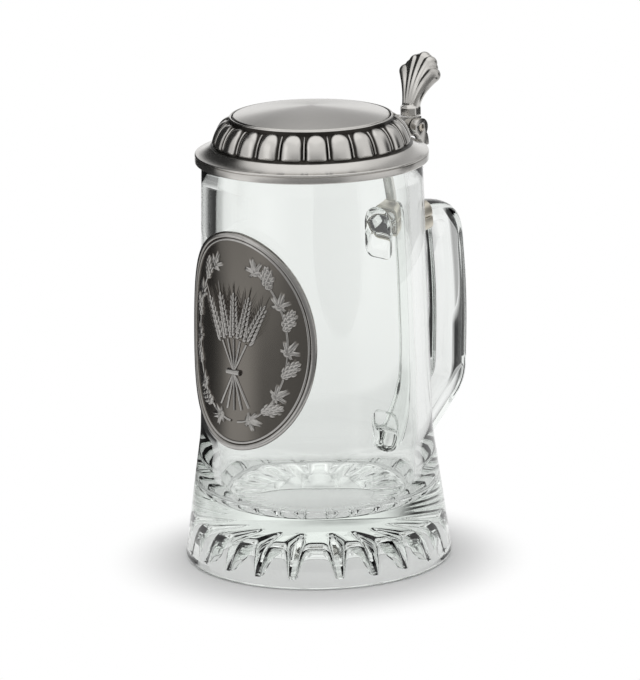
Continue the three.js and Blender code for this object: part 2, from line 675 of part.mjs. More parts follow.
// One flute: a tapering round finger from inside the collar out to a domed tip
function fluteGeometry(place) {
  const bottom = collarSeat + SOLDER_GAP + COLLAR_HEIGHT / 2;
  const tip = FAN_HEIGHT - COLLAR_HEIGHT / 2 - FLUTE_TIP_RADIUS - FAN_DROOP * place ** 2;
  const spine = new THREE.QuadraticBezierCurve3(
    new THREE.Vector3(collarX, place * FLUTE_FOOT_RADIUS, bottom),
    new THREE.Vector3(collarX + FAN_WAIST_LEAN, place * FLUTE_FOOT_RADIUS, bottom + tip * FAN_WAIST),
    new THREE.Vector3(collarX + FAN_LEAN - FAN_SIDE_SETBACK * place ** 2, place * FAN_SPREAD, bottom + tip),
  );
  const rings = [];
  const addRing = (share, beyond, radius) => {
    const ahead = spine.getTangentAt(share);
    const across = new THREE.Vector3(0, 1, 0).cross(ahead).normalize();
    const aside = ahead.clone().cross(across);
    const centre = spine.getPointAt(share).addScaledVector(ahead, beyond);
    rings.push(Array.from({ length: FLUTE_SIDES }, (_, side) => {
      const turn = (side / FLUTE_SIDES) * 2 * Math.PI;
      return centre.clone().addScaledVector(across, radius * Math.cos(turn))
        .addScaledVector(aside, radius * Math.sin(turn));
    }));
  };
  for (let step = 0; step <= FLUTE_STEPS; step += 1) {
    const share = step / FLUTE_STEPS;
    addRing(share, 0, THREE.MathUtils.lerp(FLUTE_FOOT_RADIUS, FLUTE_TIP_RADIUS, share ** FLUTE_FLARE));
  }
  for (const turn of [Math.PI / 6, Math.PI / 3]) {
    addRing(1, FLUTE_TIP_RADIUS * Math.sin(turn), FLUTE_TIP_RADIUS * Math.cos(turn));
  }
  return lofted(rings);
}

function thumbLiftGeometry() {
  let solid = solidOf(collarGeometry());
  for (let flute = 0; flute < FAN_FLUTES; flute += 1) {
    const place = (2 * flute) / (FAN_FLUTES - 1) - 1;
    solid = solid.add(solidOf(fluteGeometry(place)));
  }
  return geometryOf(solid);
}

// Assembly

const glass = { color: 0xdfe8e2, roughness: 0.05, metalness: 0, transparent: true, opacity: 0.35 };
const pewter = { color: 0xa3a19a, roughness: 0.38, metalness: 0.9 };
const darkPewter = { color: 0x5d5954, roughness: 0.45, metalness: 0.85 };
const steel = { color: 0xb9b9b6, roughness: 0.3, metalness: 0.95 };
const packing = { color: 0xc9c3b2, roughness: 0.85, metalness: 0 };

function piece(name, geometry, finish) {
  const mesh = new THREE.Mesh(geometry, new THREE.MeshStandardMaterial(finish));
  mesh.name = name;
  return mesh;
}

const armGroup = new THREE.Group();
const bandUpper = piece('band_upper', bandGeometry(armCrown), pewter);
const bandLower = piece('band_lower', bandGeometry(HANDLE_BEVEL), pewter);
bandLower.rotation.x = Math.PI;
armGroup.add(bandUpper, bandLower, piece('band_packing', packingGeometry(), packing));
armGroup.position.set(pinX, 0, armHeight);
armGroup.rotation.y = -degrees(ARM_SLOPE);

const lidGroup = new THREE.Group();
lidGroup.add(
  piece('lid', lidGeometry(), pewter),
  piece('lid_hinge_arm', lidArmGeometry(), pewter),
  piece('thumb_lift', thumbLiftGeometry(), pewter),
);

const mug = new THREE.Group();
mug.add(
  piece('glass_body', bodyGeometry(), glass),
  piece('glass_handle', handleGeometry(), glass),
  piece('badge_plaque', badgeGeometry(), darkPewter),
  piece('badge_adhesive', adhesiveGeometry(), packing),
  piece('hinge_shank', shankGeometry(), pewter),
  piece('hinge_pin', pinGeometry(), steel),
  armGroup,
  lidGroup,
);

// The origin lies under the middle of the whole object, between the foot and the grip
const reach = new THREE.Box3().setFromObject(mug);
mug.position.x = -(reach.min.x + reach.max.x) / 2;

export default mug;
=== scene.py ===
"""Looks of a lidded glass beer mug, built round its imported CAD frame."""

import logging
import math
from dataclasses import dataclass, field
from enum import Enum
from typing import Any, Optional, Sequence, Union

import bmesh
import bpy
import numpy as np
from mathutils import Matrix, Vector


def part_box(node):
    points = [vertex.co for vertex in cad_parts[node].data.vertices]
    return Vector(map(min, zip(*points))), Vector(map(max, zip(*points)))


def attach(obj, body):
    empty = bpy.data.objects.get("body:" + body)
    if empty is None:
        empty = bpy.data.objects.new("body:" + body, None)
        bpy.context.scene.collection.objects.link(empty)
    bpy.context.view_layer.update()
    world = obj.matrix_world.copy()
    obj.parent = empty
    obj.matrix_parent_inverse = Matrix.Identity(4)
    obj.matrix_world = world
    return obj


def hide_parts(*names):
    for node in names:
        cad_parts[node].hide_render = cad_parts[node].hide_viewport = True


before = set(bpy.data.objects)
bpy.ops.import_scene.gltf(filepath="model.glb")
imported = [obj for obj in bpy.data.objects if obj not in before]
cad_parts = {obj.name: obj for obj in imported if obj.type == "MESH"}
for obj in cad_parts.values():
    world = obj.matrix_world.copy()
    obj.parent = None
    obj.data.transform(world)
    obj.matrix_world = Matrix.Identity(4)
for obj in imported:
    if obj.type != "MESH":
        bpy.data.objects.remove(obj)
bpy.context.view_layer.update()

LOG = logging.getLogger("mug")
MM = 0.001
# Per-point mask of real patina, which on the lid's gadroons and the thumb lift's ears also holds painted
# shade.
PATINA_AND_SHADE = "patina"
WHITE = (1.0, 1.0, 1.0, 1.0)

Colour = tuple[float, float, float, float]
Operand = Union["Value", float]
Key = Union[int, str]
Pair = tuple[float, float]
Pairs = Sequence[Pair]
Triples = Sequence[tuple[float, float, float]]


class Body(Enum):
    """Rigid bodies of the frame."""

    MUG = "mug"
    LID = "lid"


class Slot(Enum):
    """Material slots of the record."""

    GLASS = "glass"
    PEWTER = "pewter"
    DARK_PEWTER = "dark_pewter"
    PIN_STEEL = "pin_steel"


class Grain(Enum):
    """Direction of the fine marks that working leaves on metal."""

    TURNED = "rings round the mug's axis"
    CAST = "fine pits in no direction"


def mug_axis() -> Vector:
    """Returns the foot of the mug's axis, from the box of the turned glass body."""
    low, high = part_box("glass_body")
    return Vector(((low.x + high.x) / 2, (low.y + high.y) / 2, 0.0))


AXIS = mug_axis()


class Value:
    """A node's output that takes part in Python arithmetic."""

    def __init__(self, graph: "Graph", socket: bpy.types.NodeSocket) -> None:
        """Keeps the socket and the graph that it belongs to."""
        self.graph = graph
        self.socket = socket

    def __add__(self, other: Operand) -> "Value":
        """This value plus another."""
        return self.graph.math("ADD", self, other)

    __radd__ = __add__

    def __sub__(self, other: Operand) -> "Value":
        """This value less another."""
        return self.graph.math("SUBTRACT", self, other)

    def __rsub__(self, other: float) -> "Value":
        """A number less this value."""
        return self.graph.math("SUBTRACT", other, self)

    def __mul__(self, other: Operand) -> "Value":
        """This value times another."""
        return self.graph.math("MULTIPLY", self, other)

    __rmul__ = __mul__

    def __truediv__(self, other: Operand) -> "Value":
        """This value over another."""
        return self.graph.math("DIVIDE", self, other)

    def __mod__(self, other: Operand) -> "Value":
        """What is left of this value after whole steps of another."""
        return self.graph.math("MODULO", self, other)

    def __pow__(self, other: Operand) -> "Value":
        """This value to a power."""
        return self.graph.math("POWER", self, other)

    def __abs__(self) -> "Value":
        """This value without its sign."""
        return self.graph.math("ABSOLUTE", self)

    def floor(self) -> "Value":
        """The whole number below this value."""
        return self.graph.math("FLOOR", self)

    def sine(self) -> "Value":
        """The sine of this value in radians."""
        return self.graph.math("SINE", self)

    def most(self, other: Operand) -> "Value":
        """The larger of this value and another."""
        return self.graph.math("MAXIMUM", self, other)

    def eased(self, low: float, high: float) -> "Value":
        """Runs smoothly from 0 at low to 1 at high."""
        inputs = {"Value": self, "From Min": low, "From Max": high}
        return self.graph.add("ShaderNodeMapRange", inputs, interpolation_type="SMOOTHSTEP")["Result"]


class Made:
    """A node that was added to a graph, indexed by its outputs."""

    def __init__(self, graph: "Graph", node: bpy.types.Node) -> None:
        """Keeps the node and its graph."""
        self.graph = graph
        self.node = node

    def __getitem__(self, output: Key) -> Value:
        """One of the node's outputs."""
        return Value(self.graph, self.node.outputs[output])


class Graph:
    """Adds nodes to a tree and links them."""

    def __init__(self, tree: bpy.types.NodeTree) -> None:
        """Keeps the tree."""
        self.tree = tree

    def add(self, kind: str, inputs: Optional[dict[Key, Any]] = None, **settings: Any) -> Made:
        """Adds a node.

        Args:
            kind: The node's type.
            inputs: Values or links of its sockets, by name or number.
            settings: Properties to set first.

        Returns:
            The node.
        """
        node = self.tree.nodes.new(kind)
        for name, value in settings.items():
            setattr(node, name, value)
        for key, value in (inputs or {}).items():
            self.feed(node.inputs[key], value)
        return Made(self, node)

    def feed(self, socket: bpy.types.NodeSocket, value: Any) -> None:
        """Links a value to a socket, or sets the socket's own number or colour."""
        if isinstance(value, Value):
            self.tree.links.new(value.socket, socket)
        else:
            socket.default_value = value

    def math(self, operation: str, *operands: Operand) -> Value:
        """Adds a Math node over its operands."""
        return self.add("ShaderNodeMath", dict(enumerate(operands)), operation=operation)[0]

    def mix(self, share: Operand, first: Any, second: Any) -> Value:
        """Mixes two colours by a share of the second."""
        return self.add("ShaderNodeMix", {0: share, 6: first, 7: second}, data_type="RGBA")[2]


class Dressing(Graph):
    """A material's shader graph."""

    def __init__(self, name: str) -> None:
        """Starts an empty material."""
        self.material = bpy.data.materials.new(name)
        self.material.use_nodes = True
        super().__init__(self.material.node_tree)
        self.tree.nodes.clear()

    def place(self) -> Value:
        """Object coordinates, which are the frame's own in metres."""
        return self.add("ShaderNodeTexCoord")["Object"]

    def noise(self, vector: Value, scale: float, detail: float) -> Value:
        """Cloudy noise from 0 to 1, with so many clouds to the metre and octaves of finer ones."""
        inputs = {"Vector": vector, "Scale": scale, "Detail": detail}
        return self.add("ShaderNodeTexNoise", inputs)["Fac"]

    def bump(self, height: Value, strength: float, distance: float) -> Value:
        """A normal bent by a height from 0 to 1, which is so many metres deep."""
        inputs = {"Height": height, "Strength": strength, "Distance": distance}
        return self.add("ShaderNodeBump", inputs)["Normal"]

    def radius(self, place: Value) -> Value:
        """Distance from the mug's axis."""
        parts = self.add("ShaderNodeSeparateXYZ", {0: place})
        across = parts["X"] - AXIS.x
        return (across * across + parts["Y"] * parts["Y"]) ** 0.5

    def close(self, surface: Value, volume: Optional[Value] = None) -> bpy.types.Material:
        """Links the shaders of the surface and of what is inside, and returns the material."""
        inputs: dict[Key, Any] = {"Surface": surface}
        if volume is not None:
            inputs["Volume"] = volume
        self.add("ShaderNodeOutputMaterial", inputs)
        return self.material

    def coated(self, inputs: dict[Key, Any], volume: Optional[Value] = None) -> bpy.types.Material:
        """Closes the graph with a Principled surface and returns the material."""
        return self.close(self.add("ShaderNodeBsdfPrincipled", inputs)["BSDF"], volume)

    def lit(self, base: Value, share: Value, strength: Value) -> bpy.types.Material:
        """Closes the graph with a surface of which a share is white light.

        Args:
            base: The shader of the rest.
            share: The share from 0 to 1.
            strength: Strength of the light.

        Returns:
            The material.
        """
        glow = self.add("ShaderNodeEmission", {"Color": WHITE, "Strength": strength})["Emission"]
        return self.close(self.add("ShaderNodeMixShader", {0: share, 1: base, 2: glow})["Shader"])


@dataclass(frozen=True)
class ClearGlass:
    """Pressed clear glass with a faint green cast where it is thick."""

    name: str = "clear_glass"
    tint: Colour = (0.965, 0.978, 0.968, 1.0)
    ior: float = 1.5
    absorbed: Colour = (0.88, 0.935, 0.89, 1.0)
    density: float = 9.0
    ripple_scale: float = 38.0
    ripple_detail: float = 1.0
    ripple_strength: float = 0.35
    ripple_depth: float = 0.00025

    def material(self) -> bpy.types.Material:
        """Returns the glass, faintly rippled by the mould."""
        graph = Dressing(self.name)
        ripple = graph.noise(graph.place(), self.ripple_scale, self.ripple_detail)
        inside = {"Color": self.absorbed, "Density": self.density}
        return graph.coated({
            "Base Color": self.tint,
            "Roughness": 0.0,
            "IOR": self.ior,
            "Transmission Weight": 1.0,
            "Normal": graph.bump(ripple, self.ripple_strength, self.ripple_depth),
        }, graph.add("ShaderNodeVolumeAbsorption", inside)["Volume"])


@dataclass(frozen=True)
class Pewter:
    """Satin pewter with dark patina left in its hollows, and painted shade where a piece's mask holds it."""

    name: str
    grain: Grain
    bright: Colour = (0.56, 0.545, 0.52, 1.0)
    dark: Colour = (0.035, 0.032, 0.028, 1.0)
    roughness: float = 0.18
    dark_roughness: float = 0.4
    anisotropy: float = 0.0
    grain_turn: float = 0.25
    mottle: float = 0.25
    cloud_scale: float = 420.0
    cloud_detail: float = 4.0
    cloud_gloss: float = 0.05
    darkened_range: Pair = (0.2, 0.8)
    darkened_metal_loss: float = 0.1
    turned_scale: float = 5200.0
    turned_climb: float = 0.7
    cast_scale: float = 2600.0
    mark_detail: float = 3.0
    mark_gloss: float = 0.08
    mark_strength: float = 0.3
    mark_depth: float = 0.00001

    def _marks(self, graph: Dressing, place: Value) -> Value:
        """Height of the marks that working leaves on the metal."""
        if self.grain is Grain.TURNED:
            height = graph.add("ShaderNodeSeparateXYZ", {0: place})["Z"]
            along = graph.radius(place) + height * self.turned_climb
            inputs = {"W": along, "Scale": self.turned_scale, "Detail": self.mark_detail}
            return graph.add("ShaderNodeTexNoise", inputs, noise_dimensions="1D")["Fac"]
        return graph.noise(place, self.cast_scale, self.mark_detail)

    def material(self) -> bpy.types.Material:
        """Returns the metal, darkened by the piece's mask of patina and painted shade."""
        graph = Dressing(self.name)
        place = graph.place()
        patina = graph.add("ShaderNodeAttribute", attribute_name=PATINA_AND_SHADE)["Fac"]
        cloud = graph.noise(place, self.cloud_scale, self.cloud_detail) - 0.5
        darkened = (patina + cloud * self.mottle).eased(*self.darkened_range)
        marks = self._marks(graph, place)
        gloss = self.roughness + (self.dark_roughness - self.roughness) * darkened
        gloss = gloss + (marks - 0.5) * self.mark_gloss
        return graph.coated({
            "Base Color": graph.mix(darkened, self.bright, self.dark),
            "Metallic": 1.0 - darkened * self.darkened_metal_loss,
            "Roughness": gloss + cloud * self.cloud_gloss,
            "Anisotropic": self.anisotropy,
            "Anisotropic Rotation": self.grain_turn,
            "Normal": graph.bump(marks, self.mark_strength, self.mark_depth),
        })


@dataclass(frozen=True)
class SoftFilm:
    """Matt film or packing between harder pieces."""

    name: str
    light: Colour
    shade: Colour
    scale: float = 900.0
    detail: float = 4.0
    fleck_range: Pair = (0.35, 0.7)
    roughness: float = 0.6
    fleck_roughness: float = 0.3
    fleck_strength: float = 0.4
    fleck_depth: float = 0.0001

    def material(self) -> bpy.types.Material:
        """Returns the film, flecked and slightly rough."""
        graph = Dressing(self.name)
        fleck = graph.noise(graph.place(), self.scale, self.detail)
        return graph.coated({
            "Base Color": graph.mix(fleck.eased(*self.fleck_range), self.light, self.shade),
            "Roughness": self.roughness + fleck * self.fleck_roughness,
            "Normal": graph.bump(fleck, self.fleck_strength, self.fleck_depth),
        })


def linked(name: str, data: Any) -> bpy.types.Object:
    """Makes an object of a mesh, lamp or camera and puts it into the scene."""
    obj = bpy.data.objects.new(name, data)
    bpy.context.scene.collection.objects.link(obj)
    return obj


def read(items: Any, name: str, width: int, kind: type = float) -> np.ndarray:
    """Reads one property of a mesh's items, in rows of a given width."""
    values = np.zeros(len(items) * width, kind)
    items.foreach_get(name, values)
    return values.reshape(-1, width)


def mark(mesh: bpy.types.Mesh, name: str, values: np.ndarray) -> None:
    """Writes a number at every point of a mesh."""
    attribute = mesh.attributes.get(name) or mesh.attributes.new(name, "FLOAT", "POINT")
    attribute.data.foreach_set("value", values.astype(np.float32))


@dataclass
class Shell:
    """Points in millimetres about the mug's axis, and the faces over them."""

    points: np.ndarray
    faces: list[tuple[int, ...]]
    marks: dict[str, np.ndarray] = field(default_factory=dict)

    def joined(self, other: "Shell") -> "Shell":
        """Returns this shell and another as one."""
        start = len(self.points)
        faces = self.faces + [tuple(start + spot for spot in face) for face in other.faces]
        return Shell(np.concatenate((self.points, other.points)), faces)

    def moved(self, turn: float, along: float, up: float, size: float) -> "Shell":
        """Returns a flat shell turned, scaled and moved in its plane.

        Args:
            turn: Turn in degrees, anticlockwise.
            along: Move to the right.
            up: Move upwards.
            size: Scale in the plane.

        Returns:
            The moved shell.
        """
        c, s = math.cos(math.radians(turn)) * size, math.sin(math.radians(turn)) * size
        x, y, z = self.points.T
        return Shell(np.column_stack((x * c - y * s + along, x * s + y * c + up, z)), self.faces)

    def piece(self, name: str, at: Vector = AXIS) -> bpy.types.Object:
        """Makes an object of the shell, with the mug's axis at a place in metres."""
        mesh = bpy.data.meshes.new(name)
        mesh.from_pydata((self.points * MM + np.array(at)).tolist(), [], self.faces)
        for label, values in self.marks.items():
            mark(mesh, label, values)
        return linked(name, mesh)


def skin(rows: Sequence[np.ndarray], closed: bool) -> Shell:
    """Covers rows of points with faces.

    Args:
        rows: Rows with equal numbers of points; a row of one point is a pole.
        closed: Whether each row runs round into itself.

    Returns:
        The shell.
    """
    starts = np.cumsum([0] + [len(row) for row in rows])
    faces = []
    for low, high, row, above in zip(starts, starts[1:], rows, rows[1:]):
        count = max(len(row), len(above))
        for spot in range(count if closed else count - 1):
            after = (spot + 1) % count
            lower = (low + spot, low + after) if len(row) > 1 else (low, low)
            upper = (high + after, high + spot) if len(above) > 1 else (high, high)
            faces.append(tuple(int(corner) for corner in dict.fromkeys(lower + upper)))
    return Shell(np.concatenate(rows), faces)


def capped(rows: Sequence[np.ndarray]) -> Shell:
    """Covers rows that run round into themselves, and closes both ends."""
    return skin([rows[0].mean(0)[None], *rows, rows[-1].mean(0)[None]], closed=True)


def ring(radius: Any, turn: np.ndarray, rise: Any) -> np.ndarray:
    """Points round the axis at angles in radians, with one radius and height or one for each."""
    return np.column_stack((radius * np.cos(turn), radius * np.sin(turn), np.broadcast_to(rise, turn.shape)))


def pole(rise: float) -> np.ndarray:
    """A row of one point on the axis."""
    return np.array([[0.0, 0.0, rise]])


def full_turn(sides: int) -> np.ndarray:
    """Angles of the corners of a regular figure."""
    return np.linspace(0.0, math.tau, sides + 1)[:-1]


def ways(points: np.ndarray) -> np.ndarray:
    """Directions of a path at its points."""
    ahead = np.gradient(points, axis=0)
    return ahead / np.linalg.norm(ahead, axis=1)[:, None]


def evenly(points: np.ndarray, run: np.ndarray, count: int) -> np.ndarray:
    """A number of points at even steps of the run that a path's own points have."""
    steps = np.linspace(0.0, run[-1], count)
    return np.column_stack([np.interp(steps, run, part) for part in points.T])


def straight(start: Any, end: Any, steps: int) -> np.ndarray:
    """Points at even steps along a straight line, without its start."""
    return np.linspace(start, end, steps + 1)[1:]


def bend(start: Sequence[float], control: Sequence[float], end: Sequence[float], steps: int) -> np.ndarray:
    """Points along a quadratic bend, without its start.

    Args:
        start: First point.
        control: Point that pulls the bend.
        end: Last point.
        steps: Number of points.

    Returns:
        The points in rows.
    """
    share = np.linspace(0.0, 1.0, steps + 1)[1:, None]
    a, b, c = (np.asarray(point, float) for point in (start, control, end))
    return (1 - share) ** 2 * a + 2 * share * (1 - share) * b + share ** 2 * c


def eased(value: np.ndarray, low: float, high: float) -> np.ndarray:
    """Runs smoothly from 0 at low to 1 at high, for arrays."""
    share = np.clip((np.asarray(value, float) - low) / (high - low), 0.0, 1.0)
    return share * share * (3 - 2 * share)


def rounded_rectangle(half_width: float, half_height: float, corner: float, steps: int) -> np.ndarray:
    """Corner points of a rectangle with round corners.

    Args:
        half_width: Half of its width.
        half_height: Half of its height.
        corner: Radius of its corners.
        steps: Steps round each corner.

    Returns:
        Points in rows of two.
    """
    turn = np.concatenate([(quarter + np.linspace(0, 1, steps + 1)) * math.pi / 2 for quarter in range(4)])
    across = np.repeat([1, -1, -1, 1], steps + 1) * (half_width - corner)
    up = np.repeat([1, 1, -1, -1], steps + 1) * (half_height - corner)
    return np.column_stack((across + corner * np.cos(turn), up + corner * np.sin(turn)))


def plain_mesh(obj: bpy.types.Object) -> None:
    """Turns an object's modifiers into a plain mesh of its own."""
    graph = bpy.context.evaluated_depsgraph_get()
    mesh = bpy.data.meshes.new_from_object(
        obj.evaluated_get(graph), preserve_all_data_layers=True, depsgraph=graph)
    obj.modifiers.clear()
    old = obj.data
    obj.data = mesh
    bpy.data.meshes.remove(old)


def settle(obj: bpy.types.Object, sharp: float, merge: float = 1e-6) -> None:
    """Merges doubled points, points faces outwards and shades smoothly.

    Args:
        obj: The object.
        sharp: Angle in degrees over which an edge stays sharp.
        merge: Distance in metres under which points are one.
    """
    work = bmesh.new()
    work.from_mesh(obj.data)
    bmesh.ops.remove_doubles(work, verts=work.verts, dist=merge)
    bmesh.ops.recalc_face_normals(work, faces=work.faces)
    work.to_mesh(obj.data)
    work.free()
    obj.data.shade_smooth()
    obj.data.set_sharp_from_angle(angle=math.radians(sharp))


def age(obj: bpy.types.Object, low: float, high: float, rounds: int = 3) -> None:
    """Marks patina in a mesh's hollows.

    Args:
        obj: The object.
        low: Hollowness, in 1/m, at which patina starts.
        high: Hollowness at which it is full.
        rounds: Rounds of spreading to neighbours.
    """
    mesh = obj.data
    count = len(mesh.vertices)
    spots, normals = (read(mesh.vertices, name, 3) for name in ("co", "normal"))
    a, b = read(mesh.edges, "vertices", 2, int).T
    span = spots[b] - spots[a]
    length = np.maximum((span ** 2).sum(1), 1e-12)
    hollow = np.zeros(count)
    shared = np.bincount(a, minlength=count) + np.bincount(b, minlength=count)
    np.add.at(hollow, a, (span * normals[a]).sum(1) / length)
    np.add.at(hollow, b, -(span * normals[b]).sum(1) / length)
    hollow /= np.maximum(shared, 1)
    for _ in range(rounds):
        spread = hollow.copy()
        np.add.at(spread, a, hollow[b])
        np.add.at(spread, b, hollow[a])
        hollow = spread / (shared + 1)
    mark(mesh, PATINA_AND_SHADE, eased(hollow, low, high))


def dress(obj: bpy.types.Object, material: bpy.types.Material) -> None:
    """Gives an object one material."""
    obj.data.materials.clear()
    obj.data.materials.append(material)


def hand_over(obj: bpy.types.Object, material: bpy.types.Material, body: Body, slot: Slot,
              *nodes: str) -> None:
    """Dresses a finished piece and puts it on its body in the frame.

    Args:
        obj: The piece.
        material: Its finish.
        body: Body that it moves with.
        slot: Material slot of its finish; not used.
        nodes: CAD nodes that it stands for.
    """
    dress(obj, material)
    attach(obj, body.value)
    if nodes:
        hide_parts(*nodes)
    LOG.info("%s: %d faces on %s", obj.name, len(obj.data.polygons), body.value)


class Recipe(Graph):
    """A Geometry Nodes tree with named inputs, run on a mesh object."""

    to_row: float = 3.0

    def __init__(self, name: str, sizes: dict[str, str]) -> None:
        """Starts the tree.

        Args:
            name: The tree's name.
            sizes: Socket type of each named input.
        """
        super().__init__(bpy.data.node_groups.new(name, "GeometryNodeTree"))
        face = self.tree.interface
        face.new_socket("Mesh", in_out="INPUT", socket_type="NodeSocketGeometry")
        face.new_socket("Mesh", in_out="OUTPUT", socket_type="NodeSocketGeometry")
        sizes = {**sizes, "Finish": "NodeSocketMaterial"}
        self.keys = {
            size: face.new_socket(size, in_out="INPUT", socket_type=kind).identifier
            for size, kind in sizes.items()
        }
        self.given = self.add("NodeGroupInput")

    def vector(self, x: Operand, y: Operand, z: Operand) -> Value:
        """A vector of three parts."""
        return self.add("ShaderNodeCombineXYZ", {0: x, 1: y, 2: z})["Vector"]

    def turned(self, turn: Operand) -> Value:
        """A rotation about the Z axis."""
        return self.add("FunctionNodeEulerToRotation", {0: self.vector(0.0, 0.0, turn)})["Rotation"]

    def index(self) -> Value:
        """The number of each repeat, from 0."""
        return self.add("GeometryNodeInputIndex")["Index"]

    def abreast(self) -> tuple[Value, Value, Value]:
        """Row, side from -1 to 1 and share of all rows of each repeat, with three to a row."""
        index = self.index()
        row = (index / self.to_row).floor()
        return row, index % self.to_row - 1.0, row / self.given["Rows"]

    def repeat(self, count: Operand, position: Optional[Value], rotation: Value, scale: Operand) -> None:
        """Repeats the mesh at points and closes the tree.

        Args:
            count: Number of repeats.
            position: Where each goes, or None for all at the origin.
            rotation: How each is turned.
            scale: How large each is.
        """
        spots: dict[Key, Any] = {"Count": count}
        if position is not None:
            spots["Position"] = position
        points = self.add("GeometryNodePoints", spots)["Points"]
        placed = self.add("GeometryNodeInstanceOnPoints", {
            "Points": points, "Instance": self.given["Mesh"], "Rotation": rotation,
            "Scale": self.vector(scale, scale, scale)})
        whole = self.add("GeometryNodeRealizeInstances", {0: placed["Instances"]})
        done = self.add("GeometryNodeSetMaterial", {
            "Geometry": whole["Geometry"], "Material": self.given["Finish"]})
        self.add("NodeGroupOutput", {0: done["Geometry"]})

    def run(self, obj: bpy.types.Object, **values: Any) -> None:
        """Runs the tree on an object and keeps the plain mesh.

        Args:
            obj: The object whose mesh is repeated.
            values: The tree's named inputs.
        """
        modifier = obj.modifiers.new(self.tree.name, "NODES")
        modifier.node_group = self.tree
        for name, value in values.items():
            modifier[self.keys[name]] = value
        plain_mesh(obj)


def round_recipe() -> Recipe:
    """Returns a tree that repeats one sector round the Z axis."""
    recipe = Recipe("repeat_round", {"Count": "NodeSocketInt"})
    count = recipe.given["Count"]
    recipe.repeat(count, None, recipe.turned(recipe.index() * math.tau / count), 1.0)
    return recipe


def ear_recipe() -> Recipe:
    """Returns a tree that sets grains in three rows up an ear of barley."""
    number = "NodeSocketFloat"
    recipe = Recipe("barley_ear", {
        "Rows": "NodeSocketInt", "Pitch": number, "Spread": number, "Splay": number, "Taper": number})
    stagger, rise = 0.5, 0.3
    row, side, share = recipe.abreast()
    middle = 1.0 - abs(side)
    slim = 1.0 - share * recipe.given["Taper"]
    across = side * recipe.given["Spread"] * slim
    up = (row + middle * stagger) * recipe.given["Pitch"]
    position = recipe.vector(across, up, middle * rise * MM)
    turn = recipe.turned(0.0 - side * recipe.given["Splay"])
    recipe.repeat(recipe.given["Rows"] * recipe.to_row, position, turn, slim)
    return recipe


def cone_recipe() -> Recipe:
    """Returns a tree that lays bracts in staggered rows down a hop cone."""
    number = "NodeSocketFloat"
    recipe = Recipe("hop_cone", {"Rows": "NodeSocketInt", "Pitch": number, "Width": number, "Splay": number})
    bow, first, stagger, rise, sag, least = 2.5, 0.5, 0.5, 0.5, 0.35, 0.6
    row, side, share = recipe.abreast()
    swell = (share * bow + first).sine()
    side = side + (row % 2.0) * stagger - stagger / 2
    across = side * recipe.given["Width"] * swell
    lift = (1.0 - share) * rise * MM - side * side * sag * MM
    position = recipe.vector(across, 0.0 - row * recipe.given["Pitch"], lift)
    turn = recipe.turned(side * recipe.given["Splay"])
    recipe.repeat(recipe.given["Rows"] * recipe.to_row, position, turn, least + swell * (1.0 - least))
    return recipe


